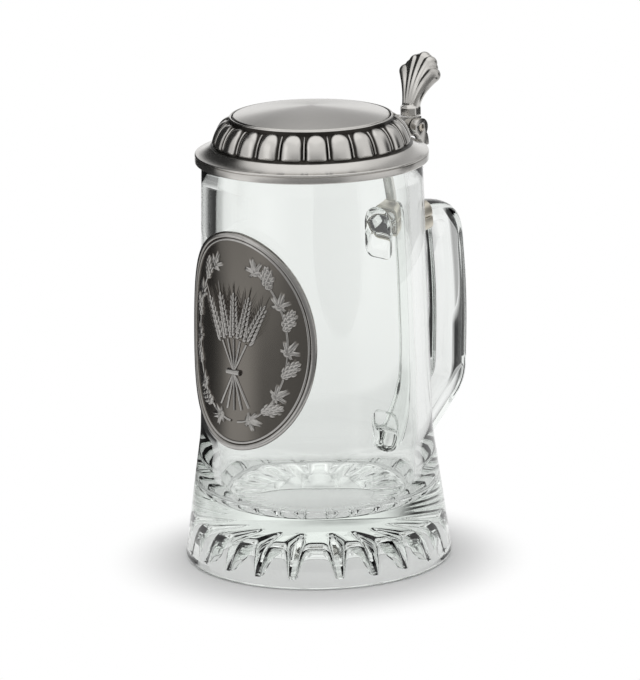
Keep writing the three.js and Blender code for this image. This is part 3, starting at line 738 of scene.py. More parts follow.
@dataclass
class GlassVessel:
    """The glass body and the handle that is fused to it, sizes in millimetres."""

    height: float = 160.0
    rim_radius: float = 42.8
    waist_radius: float = 45.4
    waist_height: float = 50.5
    waist_blend: float = 3.5
    foot_radius: float = 52.27
    foot_edge: float = 2.2
    standing_width: float = 3.0
    wall: float = 5.7
    floor_height: float = 23.0
    floor_dish: float = 1.2
    floor_fillet: float = 11.5
    mould_parts: int = 4
    niches: int = 5
    seam_niche: float = 22.5
    star_turn: float = 40.6
    star_height: float = 15.5
    rib_share: float = 0.16
    arch_share: float = 0.76
    arch_power: float = 3.2
    rib_start: float = 0.5
    rib_curve: float = 1.3
    niche_wall: float = 0.36
    niche_wall_start: float = 0.988
    niche_dome_start: float = 0.8
    ring_height: float = 3.0
    ring_share: float = 0.008
    star_first: float = 0.98
    star_rows: int = 44
    sector_steps: int = 144
    pin_x: float = 56.6
    arm_height: float = 125.5
    arm_slope: float = 6.0
    grip_x: float = 81.6
    upper_lean: float = 4.0
    lower_lean: float = 1.7
    lower_corner: float = 55.0
    lower_slope: float = 39.4
    bends: tuple[float, float, float] = (14.0, 17.5, 6.0)
    bend_steps: int = 24
    route_points: int = 150
    handle_width: float = 13.0
    grip_thickness: float = 12.0
    arm_thickness: float = 7.2
    bevel: float = 0.6
    crown_share: float = 0.37
    root_width: float = 16.0
    root_height: float = 21.5
    root_length: float = 5.0
    root_power: float = 1.4
    root_bevel: float = 4.0
    root_drop: float = 2.0
    root_climb: float = 8.0
    lower_wall: float = 49.6
    lower_root: Pair = (-0.99, -0.14)
    overlap: float = 1.5
    trim_depth: float = 5.0
    trim_sides: int = 128
    edge_steps: int = 8
    waist_steps: int = 10
    wall_steps: int = 12
    low_wall_steps: int = 3
    crown_points: int = 25
    bevel_points: int = 7

    def wall_radius(self, height: Any) -> Any:
        """Outer radius of the tapered wall at a height above the waist."""
        taper = (self.waist_radius - self.rim_radius) / (self.height - self.waist_height)
        return self.rim_radius + (self.height - height) * taper

    def _outside(self, offset: float = 0.0) -> np.ndarray:
        """Profile of the foot and wall, from the standing ring to the rim."""
        flare = (self.foot_radius - self.waist_radius) / (self.waist_height - self.foot_edge)
        standing = self.foot_radius - self.foot_edge
        low, high = self.waist_height - self.waist_blend, self.waist_height + self.waist_blend
        below = (self.waist_radius + flare * self.waist_blend, low)
        rows = [np.array([[standing, 0.0]])]
        edge, above = (self.foot_radius, self.foot_edge), (self.wall_radius(high), high)
        rim = (self.rim_radius, self.height - self.wall / 2)
        rows.append(bend((standing, 0.0), (self.foot_radius, 0.0), edge, self.edge_steps))
        rows.append(straight(edge, below, self.edge_steps))
        rows.append(bend(below, (self.waist_radius, self.waist_height), above, self.waist_steps))
        rows.append(straight(above, rim, self.wall_steps))
        profile = np.concatenate(rows)
        profile[:, 0] += offset
        return profile

    def _inside(self) -> np.ndarray:
        """Profile of the rounded rim, the inside of the wall and the floor."""
        edge = self.height - self.wall / 2
        turn = straight(0.0, math.pi, self.wall_steps)
        middle = self.rim_radius - self.wall / 2
        rim = np.column_stack((middle + self.wall / 2 * np.cos(turn), edge + self.wall / 2 * np.sin(turn)))
        corner = self.waist_radius - self.wall
        top = self.floor_height + self.floor_fillet
        flat = corner - self.floor_fillet
        return np.concatenate((
            rim,
            straight(rim[-1], (corner, self.waist_height), self.wall_steps),
            straight((corner, self.waist_height), (corner, top), self.low_wall_steps),
            bend((corner, top), (corner, self.floor_height), (flat, self.floor_height), self.wall_steps),
            bend((flat, self.floor_height), (self.floor_fillet, self.floor_height - self.floor_dish),
                 (0.0, self.floor_height - self.floor_dish), self.edge_steps),
        ))

    def _star_rise(self, share: float, turn: np.ndarray) -> np.ndarray:
        """Height of the star-cut underside.

        Args:
            share: Share of the star's radius.
            turn: Angles in degrees, with 0 at the mould's seam.

        Returns:
            Heights above the table.
        """
        half = self.seam_niche / 2
        pitch = (180.0 / self.mould_parts - half) * 2 / (self.niches - 1)
        off = np.abs(turn)
        step = ((off - half) / pitch) % 1.0
        from_rib = np.where(off < half, (half - off) / self.seam_niche, np.minimum(step, 1.0 - step))
        arch = np.clip((from_rib - self.rib_share / 2) / (self.arch_share / 2), 0.0, 1.0)
        hollow = (1.0 - (1.0 - arch) ** self.arch_power) ** (1.0 / self.arch_power)
        rib = 1.0 - max(0.0, (share - self.rib_start) / (1.0 - self.rib_start)) ** self.rib_curve
        climb = min(1.0, (1.0 - share) / (1.0 - self.niche_wall_start))
        fall = max(0.0, share - self.niche_dome_start) / (self.niche_wall_start - self.niche_dome_start)
        niche = self.niche_wall * climb + (1.0 - self.niche_wall) * math.sqrt(max(0.0, 1.0 - fall ** 2))
        least = self.ring_height * min(1.0, (1.0 - share) / self.ring_share)
        return np.maximum(self.star_height * (rib + (niche - rib) * hollow), least)

    def _sector(self) -> Shell:
        """One mould part's sector of the body, open at its two sides."""
        turn = np.linspace(-1.0, 1.0, self.sector_steps + 1) * math.pi / self.mould_parts
        radius = self.foot_radius - self.foot_edge - self.standing_width
        shares = 1.0 - np.linspace(self.star_first, 0.0, self.star_rows) ** 2
        star = [ring(share * radius, turn, self._star_rise(share, np.degrees(turn))) for share in shares]
        inside = self._inside()
        wall = [ring(across, turn, rise) for across, rise in np.concatenate((self._outside(), inside[:-1]))]
        return skin([pole(self.star_height), *star, *wall, pole(inside[-1, 1])], closed=False)

    def _plug(self) -> Shell:
        """Solid just inside the body's outside, which trims the handle's roots."""
        turn, low = full_turn(self.trim_sides), -self.trim_depth
        profile = self._outside(-self.overlap)
        rows = [ring(across, turn, rise) for across, rise in [(profile[0, 0], low), *profile]]
        return skin([pole(low), *rows, pole(self.height)], closed=True)

    def _route(self) -> np.ndarray:
        """Points along the middle of the handle, in X and Z, evenly spaced."""
        rise = math.tan(math.radians(self.arm_slope))
        slant = math.tan(math.radians(self.lower_slope))
        upper, lower = self.grip_x - self.upper_lean, self.grip_x - self.lower_lean
        inner = self.rim_radius - self.wall
        corners = np.array([
            (inner, self.arm_height - (self.pin_x - inner) * rise),
            (upper, self.arm_height + (upper - self.pin_x) * rise),
            (self.grip_x, (self.arm_height + self.lower_corner) / 2),
            (lower, self.lower_corner),
            (inner, self.lower_corner - (lower - inner) * slant),
        ])
        path = [corners[0]]
        for before, here, after, reach in zip(corners, corners[1:], corners[2:], self.bends):
            back = here + (before - here) / np.linalg.norm(before - here) * reach
            ahead = here + (after - here) / np.linalg.norm(after - here) * reach
            path.append(back)
            path.extend(bend(back, here, ahead, self.bend_steps))
        path = np.array([*path, corners[-1]])
        run = np.concatenate(([0.0], np.cumsum(np.linalg.norm(np.diff(path, axis=0), axis=1))))
        return evenly(path, run, self.route_points)

    def _section(self, width: float, thick: float, bevel: float) -> np.ndarray:
        """Points round the bar: a crown outside, flat flanks and a flat inside.

        Args:
            width: Width of the bar.
            thick: Thickness over the crown.
            bevel: Rounding of the inner edges.

        Returns:
            Points across the bar and outwards.
        """
        half, crown = width / 2, self.crown_share * thick
        turn = np.linspace(0.0, math.pi, self.crown_points)
        outside = np.column_stack((half * np.cos(turn), thick / 2 - crown * (1.0 - np.sin(turn))))
        turn = np.linspace(math.pi, 1.5 * math.pi, self.bevel_points)
        edge = np.column_stack((bevel - half + bevel * np.cos(turn),
                                bevel - thick / 2 + bevel * np.sin(turn)))
        return np.concatenate((outside, edge, edge[::-1] * (-1, 1)))

    def _handle(self) -> Shell:
        """The crowned bar along its route, spreading at its roots."""
        route = self._route()
        rows = []
        for (x, z), (dx, dz) in zip(route, ways(route)):
            upper = z > self.waist_height
            start = self.wall_radius(z) if upper else self.lower_wall
            root = float(np.clip(1 - (x - start) / self.root_length, 0.0, 1.0)) ** self.root_power
            if not upper:
                way = (1.0 - root) * np.array((dx, dz)) + root * np.array(self.lower_root)
                dx, dz = way / np.linalg.norm(way)
            swell = dz ** 2 if upper and dx > 0 else 1.0
            bar = self.arm_thickness + (self.grip_thickness - self.arm_thickness) * swell
            section = self._section(
                self.handle_width + (self.root_width - self.handle_width) * root,
                bar + (self.root_height - bar) * root,
                self.bevel + (self.root_bevel - self.bevel) * root)
            out = section[:, 1] - root * (self.root_drop if upper else self.root_climb)
            rows.append(np.column_stack((x - dz * out, section[:, 0], z + dx * out)))
        return capped(rows)

    def build(self, finish: ClearGlass) -> None:
        """Builds and dresses the fused glass."""
        material = finish.material()
        vessel = self._sector().piece("glass_vessel", Vector())
        round_recipe().run(vessel, Count=self.mould_parts, Finish=material)
        turn = Matrix.Rotation(math.radians(self.star_turn), 4, "Z")
        vessel.data.transform(Matrix.Translation(AXIS) @ turn)
        settle(vessel, sharp=40.0, merge=2e-6)
        handle = self._handle().piece("handle_bar")
        plug = self._plug().piece("handle_trim")
        for tool in (handle, plug):
            settle(tool, sharp=40.0)
        self._combine(handle, plug, "DIFFERENCE")
        self._combine(vessel, handle, "UNION")
        for tool in (handle, plug):
            bpy.data.objects.remove(tool)
        settle(vessel, sharp=38.0)
        hand_over(vessel, material, Body.MUG, Slot.GLASS, "glass_body", "glass_handle")

    @staticmethod
    def _combine(base: bpy.types.Object, tool: bpy.types.Object, operation: str) -> None:
        """Joins or cuts one solid by another."""
        modifier = base.modifiers.new(operation.lower(), "BOOLEAN")
        modifier.operation = operation
        modifier.object = tool
        modifier.solver = "MANIFOLD"
        plain_mesh(base)


@dataclass
class PewterLid:
    """The turned lid with its ring of gadroons, sizes in millimetres."""

    rim_height: float = 160.0
    seat_gap: float = 0.3
    skirt_radius: float = 43.3
    skirt_drop: float = 2.35
    flange_radius: float = 45.2
    flange_edge: float = 1.3
    flange_step: float = 0.3
    lip: float = 0.5
    cove: float = 3.2
    foot_radius: float = 38.8
    foot_height: float = 164.3
    crown_radius: float = 30.5
    crown_height: float = 174.9
    crown_rise: float = 4.3
    bead_out: float = 0.75
    bead_half: float = 0.45
    bead_rise: float = 0.5
    crown_inset: float = 0.5
    crown_edge: float = 0.75
    crown_flat: float = 0.3
    crown_brow: Pairs = ((0.25, -0.35), (0.1, -0.05), (-0.3, 0.0))
    groove_end: Pair = (0.3, 0.2)
    groove_middle: float = 0.12
    groove_shade: Pair = (0.1, 0.45)
    cove_shade: float = 0.5
    notch: Pair = (2.2, 2.0)
    swell: float = 0.2
    wall: float = 1.9
    gadroons: int = 24
    gadroon_depth: float = 1.2
    lobe_share: float = 0.84
    lobe_power: float = 2.4
    lobe_round: float = 0.55
    ridge_share: float = 0.11
    ridge_rise: float = 0.5
    ridge_shine: float = 0.75
    lobe_patina_and_shade: Pair = (0.1, 0.95)
    lobe_foot: Pair = (0.02, 0.08)
    ridge_foot: Pair = (0.03, 0.12)
    ridge_end: Pair = (0.8, 0.95)
    depth_foot: Pair = (0.0, 0.05)
    depth_end: Pair = (0.95, 1.0)
    arch_start: float = 0.5
    arch_end: float = 0.97
    arch_power: float = 2.1
    hollow_patina: float = 0.12
    half_steps: int = 18
    rise_steps: int = 36
    inner_steps: int = 6
    cove_steps: int = 10
    bead_steps: int = 8
    lip_points: int = 5
    brow_steps: int = 4
    crown_steps: int = 22

    def _below(self) -> np.ndarray:
        """Profile from the hollow's middle out to the skirt and the flange."""
        seat = self.rim_height + self.seat_gap
        hollow = self.foot_radius - self.wall - self.gadroon_depth
        top = self.crown_height + self.crown_rise - self.wall
        shoulder = (self.crown_radius - self.wall, self.crown_height - self.wall - self.gadroon_depth)
        low, edge = self.rim_height - self.skirt_drop, self.rim_height + self.flange_edge
        turn = np.linspace(0.0, math.pi / 2, self.lip_points)
        side = self.flange_radius - self.lip
        rounding = np.column_stack((np.cos(turn), np.sin(turn))) * self.lip
        foot = (self.foot_radius, self.foot_height)
        return np.concatenate((
            bend((0.0, top), (self.crown_radius / 2, top), shoulder, self.inner_steps),
            bend(shoulder, (hollow, self.crown_height - 2 * self.wall), (hollow, seat + self.wall),
                 self.inner_steps),
            [(hollow, seat), (self.skirt_radius, seat), (self.skirt_radius, low)],
            (side, low + self.lip) + rounding[::-1] * (1, -1),
            [(self.flange_radius, edge - self.notch[0] * self.lip),
             (self.flange_radius - self.flange_step, edge - self.notch[1] * self.lip)],
            (side, edge - self.lip) + rounding,
            bend((side, edge), (self.foot_radius + self.cove, edge + self.lip), foot, self.cove_steps),
        ))

    def _crown(self) -> np.ndarray:
        """Profile of the bead, the groove and the crown, up to its middle."""
        turn = straight(0.0, math.pi, self.bead_steps)
        bead = np.column_stack((self.crown_radius + self.bead_out + self.bead_half * np.cos(turn),
                                self.crown_height + self.bead_rise * np.sin(turn)))
        rim, edge = self.crown_radius - self.crown_inset, self.crown_height + self.crown_edge
        top = self.crown_height + self.crown_rise
        brow = np.array(self.crown_brow) + (rim, edge)
        out, up = self.groove_end
        return np.concatenate((
            bead,
            [(self.crown_radius, self.crown_height - self.bead_rise), (rim + out, self.crown_height + up)],
            bend(*brow, self.brow_steps),
            bend(brow[-1], (self.crown_radius / 2, top - self.crown_flat), (0.0, top), self.crown_steps),
        ))

    def _gadroon(self, share: float, across: np.ndarray) -> tuple[np.ndarray, np.ndarray]:
        """Depth of the surface under the lobes' line, and its mask: patina in the grooves, painted shade up
        the lobes' sides and a painted highlight on the ridges.

        Args:
            share: Share of the way from the flange to the crown.
            across: Shares of the half pitch, with 0 at a lobe's middle.

        Returns:
            The depths and the mask of patina, painted shade and painted highlight.
        """
        arch = np.clip((share - self.arch_start) / (self.arch_end - self.arch_start), 0.0, 1.0)
        outline = (across / self.lobe_share) ** self.lobe_power + arch ** self.arch_power
        lobe = np.clip(1.0 - outline, 0.0, 1.0) ** self.lobe_round * eased(share, *self.lobe_foot)
        ridge = np.clip(1.0 - ((1.0 - across) / self.ridge_share) ** 2, 0.0, 1.0)
        ridge = ridge * eased(share, *self.ridge_foot) * (1.0 - eased(share, *self.ridge_end))
        depth = self.gadroon_depth * eased(share, *self.depth_foot) * (1.0 - eased(share, *self.depth_end))
        # Patina fills the grooves and climbs the lobes' curving sides as painted shade; the ridges between
        # lobes are left bright as a painted highlight.
        bright = np.maximum(eased(lobe, *self.lobe_patina_and_shade), ridge * self.ridge_shine)
        return depth * (1.0 - np.maximum(lobe, ridge * self.ridge_rise)), 1.0 - bright

    def _sector(self) -> Shell:
        """One gadroon's sector of the lid, open at its two sides."""
        across = np.linspace(-1.0, 1.0, 2 * self.half_steps + 1)
        turn = across * math.pi / self.gadroons
        rows, patina = [], []

        def add(radius: Any, rise: Any, dark: Any) -> None:
            """Adds a row of points round the axis."""
            rows.append(ring(radius, turn, rise))
            patina.append(np.broadcast_to(dark, turn.shape))

        for radius, rise in self._below():
            inside = radius < self.foot_radius - self.wall
            cove = eased(-radius, -self.foot_radius - self.cove_shade, -self.foot_radius)
            add(radius, rise, self.hollow_patina if inside else cove)
        foot = (self.foot_radius, self.foot_height)
        top = (self.crown_radius + self.bead_out + self.bead_half, self.crown_height)
        pull = (self.foot_radius - (self.foot_radius - self.crown_radius) * self.swell,
                self.crown_height - (self.crown_height - self.foot_height) * self.swell)
        shares = straight(0.0, 1.0, self.rise_steps)
        line = bend(foot, pull, top, self.rise_steps)
        slope = ways(np.vstack((foot, line)))[1:]
        for share, (radius, rise), (run, climb) in zip(shares, line, slope):
            depth, dark = self._gadroon(share, np.abs(across))
            add(radius - climb * depth, rise + run * depth, dark)
        for radius, rise in self._crown()[:-1]:
            off = abs(radius - self.crown_radius - self.groove_middle)
            add(radius, rise, 1.0 - eased(off, *self.groove_shade))
        height = self.crown_height + self.crown_rise
        shell = skin([pole(height - self.wall), *rows, pole(height)], closed=False)
        shell.marks[PATINA_AND_SHADE] = np.concatenate(([self.hollow_patina], *patina, [0.0]))
        return shell

    def build(self, finish: Pewter) -> None:
        """Builds and dresses the lid."""
        material = finish.material()
        lid = self._sector().piece("pewter_lid", Vector())
        round_recipe().run(lid, Count=self.gadroons, Finish=material)
        lid.data.transform(Matrix.Translation(AXIS))
        settle(lid, sharp=50.0, merge=2e-6)
        hand_over(lid, material, Body.LID, Slot.PEWTER, "lid")


@dataclass
class ThumbLift:
    """The fan of flutes on its collar, sizes in millimetres."""

    x: float = 58.4
    seat: float = 165.85
    collar: tuple[float, float, float] = (7.4, 8.0, 4.3)
    bevel: float = 2.1
    flutes: int = 5
    height: float = 23.97
    spread: float = 6.9
    lean: float = 8.8
    droop: float = 5.2
    side_setback: float = 2.9
    waist: float = 0.55
    waist_lean: float = 1.5
    foot_radius: float = 2.0
    tip_radius: float = 3.0
    web: float = 0.86
    flare: float = 1.5
    ear_start: float = 0.24
    ear_climb: float = 4.0
    ear_patina_and_shade: float = 0.4
    voxel: float = 0.00026
    rub: float = 0.5
    rub_rounds: int = 4
    flute_steps: int = 18
    flute_sides: int = 16
    dome_points: int = 6

    def _collar(self) -> Shell:
        """The bevelled block under the fan."""
        length, width, height = self.collar
        rows = []
        for grow, rise in ((0.0, 0.0), (0.0, height - self.bevel / 2), (-self.bevel / 2, height)):
            x, y = rounded_rectangle(length / 2 + grow, width / 2 + grow, self.bevel, 1).T
            rows.append(np.column_stack((self.x + x, y, np.full(len(x), self.seat + rise))))
        return capped(rows)

    def _flute(self, place: float, size: float) -> Shell:
        """One tapering finger, at a place from -1 to 1 across the fan and with a scaled radius."""
        low = self.seat + self.collar[2] / 2
        tip = self.height - self.collar[2] / 2 - self.tip_radius - self.droop * place ** 2
        foot = (self.x, place * self.foot_radius, low)
        pull = (self.x + self.waist_lean, place * self.foot_radius, low + tip * self.waist)
        end = (self.x + self.lean - self.side_setback * place ** 2, place * self.spread, low + tip)
        spine = np.vstack((foot, bend(foot, pull, end, self.flute_steps)))
        ahead = ways(spine)
        grow = np.linspace(0.0, 1.0, len(spine)) ** self.flare
        radius = self.foot_radius + (self.tip_radius - self.foot_radius) * grow
        radius, knob = radius * size, self.tip_radius * size
        dome = np.linspace(0.0, math.pi / 2, self.dome_points)[1:-1]
        centres = list(spine) + [spine[-1] + ahead[-1] * knob * math.sin(turn) for turn in dome]
        radii = list(radius) + [knob * math.cos(turn) for turn in dome]
        turn = full_turn(self.flute_sides)[:, None]
        rows = [spine[:1]]
        for centre, way, reach in zip(centres, list(ahead) + [ahead[-1]] * len(dome), radii):
            side = np.cross((0.0, 1.0, 0.0), way)
            side /= np.linalg.norm(side)
            rows.append(centre + reach * (side * np.cos(turn) + np.cross(way, side) * np.sin(turn)))
        rows.append((spine[-1] + ahead[-1] * knob)[None])
        return skin(rows, closed=True)

    def _darken_ears(self, lift: bpy.types.Object) -> None:
        """Darkens the fan's ears, partly as patina that the thumb rubs less and partly as a painted dark
        reflection.
        """
        mesh = lift.data
        patina = read(mesh.attributes[PATINA_AND_SHADE].data, "value", 1)[:, 0]
        _, y, z = read(mesh.vertices, "co", 3).T / MM
        low = self.seat + self.collar[2]
        # Both ears get patina and a painted dark reflection, rising from the collar.
        ears = eased(np.abs(y), self.ear_start * self.spread, self.spread)
        ears = ears * eased(z, low, low + self.ear_climb)
        mark(mesh, PATINA_AND_SHADE, np.maximum(patina, ears * self.ear_patina_and_shade))

    def build(self, finish: Pewter) -> None:
        """Builds and dresses the thumb lift."""
        shell = self._collar()
        for step, place in enumerate(np.linspace(-1.0, 1.0, 2 * self.flutes - 1)):
            shell = shell.joined(self._flute(place, self.web if step % 2 else 1.0))
        lift = shell.piece("thumb_fan")
        settle(lift, sharp=40.0)
        cast = lift.modifiers.new("cast", "REMESH")
        cast.mode = "VOXEL"
        cast.voxel_size = self.voxel
        rub = lift.modifiers.new("rub", "SMOOTH")
        rub.factor = self.rub
        rub.iterations = self.rub_rounds
        plain_mesh(lift)
        settle(lift, sharp=60.0)
        age(lift, low=60.0, high=420.0)
        self._darken_ears(lift)
        hand_over(lift, finish.material(), Body.LID, Slot.PEWTER, "thumb_lift")


@dataclass
class HingeWork:
    """Hinge, band and pin, with edges broken as on castings."""

    edge: float = 0.35
    pin_edge: float = 0.1
    steps: int = 3
    flat_angle: float = 2.0
    edge_angle: float = 34.0

    def _softened(self, node: str, name: str, edge: float) -> bpy.types.Object:
        """Copies a CAD node as a named piece and rounds its edges, by a width in millimetres."""
        piece = linked(name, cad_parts[node].data.copy())
        work = bmesh.new()
        work.from_mesh(piece.data)
        bmesh.ops.remove_doubles(work, verts=work.verts, dist=1e-6)
        bmesh.ops.dissolve_limit(
            work, angle_limit=math.radians(self.flat_angle), verts=work.verts, edges=work.edges)
        work.to_mesh(piece.data)
        work.free()
        bevel = piece.modifiers.new("edges", "BEVEL")
        bevel.width = edge * MM
        bevel.segments = self.steps
        bevel.limit_method = "ANGLE"
        bevel.angle_limit = math.radians(self.edge_angle)
        plain_mesh(piece)
        settle(piece, sharp=36.0)
        return piece

    def build(self, cast: Pewter, band: Pewter, steel: Pewter) -> None:
        """Builds and dresses the hinge's pieces and the band.

        Args:
            cast: The cast pewter.
            band: The band's duller pewter.
            steel: The pin's metal.
        """
        metal, strap, pin = (finish.material() for finish in (cast, band, steel))
        for node, name, body, slot, material, edge in (
            ("hinge_shank", "hinge_fork", Body.MUG, Slot.PEWTER, metal, self.edge),
            ("lid_hinge_arm", "hinge_arm", Body.LID, Slot.PEWTER, metal, self.edge),
            ("band_upper", "band_top_half", Body.MUG, Slot.PEWTER, strap, self.edge),
            ("band_lower", "band_bottom_half", Body.MUG, Slot.PEWTER, strap, self.edge),
            ("hinge_pin", "hinge_pin_peened", Body.MUG, Slot.PIN_STEEL, pin, self.pin_edge),
        ):
            piece = self._softened(node, name, edge)
            age(piece, low=80.0, high=900.0)
            hand_over(piece, material, body, slot, node)


@dataclass
class Ornaments:
    """Flat shapes of the badge's relief, sizes in millimetres."""

    sides: int = 12
    grain_half: Pair = (0.95, 2.1)
    grain_taper: float = 0.25
    grain_middle: float = 2.0
    grain_layers: Pairs = ((1.0, -0.2), (0.92, 0.3), (0.6, 0.66))
    grain_top: float = 0.8
    beard: Triples = ((3.6, 0.24, 0.42), (8.0, 0.2, 0.4))
    beard_sunk: float = 0.2
    beard_tip: Pair = (12.0, 0.1)
    bract_half: Pair = (1.9, 2.7)
    bract_taper: float = 0.55
    bract_peak: float = -0.4
    bract_layers: Pairs = ((1.0, -0.3), (0.95, 0.25), (0.55, 0.7))
    bract_top: float = 0.85
    leaf_points: int = 96
    leaf_least: float = 3.0
    leaf_lobes: Triples = (
        (90.0, 9.0, 0.62), (34.0, 7.8, 0.52), (146.0, 7.8, 0.52), (-22.0, 5.4, 0.5), (202.0, 5.4, 0.5))
    lobe_power: float = 1.5
    vein_half: float = 0.09
    vein_depth: float = 0.35
    teeth: int = 19
    tooth: float = 0.05
    leaf_shares: tuple[float, ...] = (1.0, 0.97, 0.8, 0.55, 0.3, 0.12)
    leaf_rise: float = 0.75
    leaf_curve: int = 3
    leaf_edge: float = 0.12
    leaf_middle: float = 0.5
    leaf_sunk: float = 0.3
    stalk_points: int = 25
    stalk_sides: int = 10
    stalk_rise: float = 0.6
    stalk_sunk: float = 0.25

    @staticmethod
    def _mound(outline: np.ndarray, middle: float, peak: float, layers: Pairs, top: float) -> Shell:
        """A small mound over a flat outline.

        Args:
            outline: Points across and up.
            middle: Move of the outline upwards.
            peak: Place of the peak upwards.
            layers: Size of the outline and lift, from the ground up.
            top: Lift of the peak.

        Returns:
            The closed mound.
        """
        rows = [np.column_stack((outline[:, 0] * size, outline[:, 1] * size + middle,
                                 np.full(len(outline), lift))) for size, lift in layers]
        low, high = (np.array([[0.0, peak, lift]]) for lift in (layers[0][1], top))
        return skin([low, *rows, high], closed=True)

    def grain(self) -> Shell:
        """A grain of barley with its beard, flat side down."""
        turn = full_turn(self.sides)
        half, length = self.grain_half
        slim = np.where(np.sin(turn) > 0, 1.0 - self.grain_taper * np.sin(turn), 1.0)
        outline = np.column_stack((half * np.cos(turn) * slim, length * np.sin(turn)))
        grain = self._mound(outline, self.grain_middle, self.grain_middle, self.grain_layers, self.grain_top)
        rows = [np.array([(-wide, up, -self.beard_sunk), (0.0, up, lift), (wide, up, -self.beard_sunk)])
                for up, wide, lift in self.beard]
        root, tip = (np.array([[0.0, *place]]) for place in ((self.beard[0][0], 0.0), self.beard_tip))
        return grain.joined(skin([root, *rows, tip], closed=True))

    def bract(self) -> Shell:
        """A pointed scale of a hop cone, its tip downwards."""
        turn = full_turn(self.sides)
        half, length = self.bract_half
        slim = np.where(np.sin(turn) < 0, 1.0 - np.sin(turn) ** 2 * self.bract_taper, 1.0)
        outline = np.column_stack((half * np.cos(turn) * slim, length * np.sin(turn)))
        return self._mound(outline, 0.0, self.bract_peak, self.bract_layers, self.bract_top)

    def leaf(self) -> Shell:
        """A five-lobed hop leaf with sunken veins, its tip upwards."""
        turn = np.linspace(-0.5 * math.pi, 1.5 * math.pi, self.leaf_points + 1)[:-1]
        reach = np.full(turn.shape, self.leaf_least)
        vein = np.zeros(turn.shape)
        for way, length, spread in self.leaf_lobes:
            apart = np.abs((turn - math.radians(way) + math.pi) % math.tau - math.pi)
            reach = np.maximum(reach, length * np.exp(-(apart / spread) ** self.lobe_power))
            vein = np.maximum(vein, np.exp(-(apart / self.vein_half) ** 2))
        reach *= 1.0 + self.tooth * np.sign(np.sin(turn * self.teeth))
        rows = []
        for share in self.leaf_shares:
            lift = self.leaf_rise * (1.0 - share ** self.leaf_curve) + self.leaf_edge * share
            lift = lift - self.vein_depth * vein * share
            if share == 1.0:
                lift = np.full(turn.shape, -self.leaf_sunk)
            rows.append(np.column_stack((reach * share * np.cos(turn), reach * share * np.sin(turn), lift)))
        return skin([pole(-self.leaf_sunk), *rows, pole(self.leaf_middle)], closed=True)

    def stalk(self, points: Pairs, width: float) -> Shell:
        """A flattened round stalk along flat points, closed at its ends."""
        path = evenly(np.array(points, float), np.linspace(0.0, 1.0, len(points)), self.stalk_points)
        turn = full_turn(self.stalk_sides)
        off = width / 2 * np.cos(turn)
        lift = np.where(np.sin(turn) > 0, width * self.stalk_rise, self.stalk_sunk) * np.sin(turn)
        return capped([np.column_stack((x - dy * off, y + dx * off, lift))
                       for (x, y), (dx, dy) in zip(path, ways(path))])


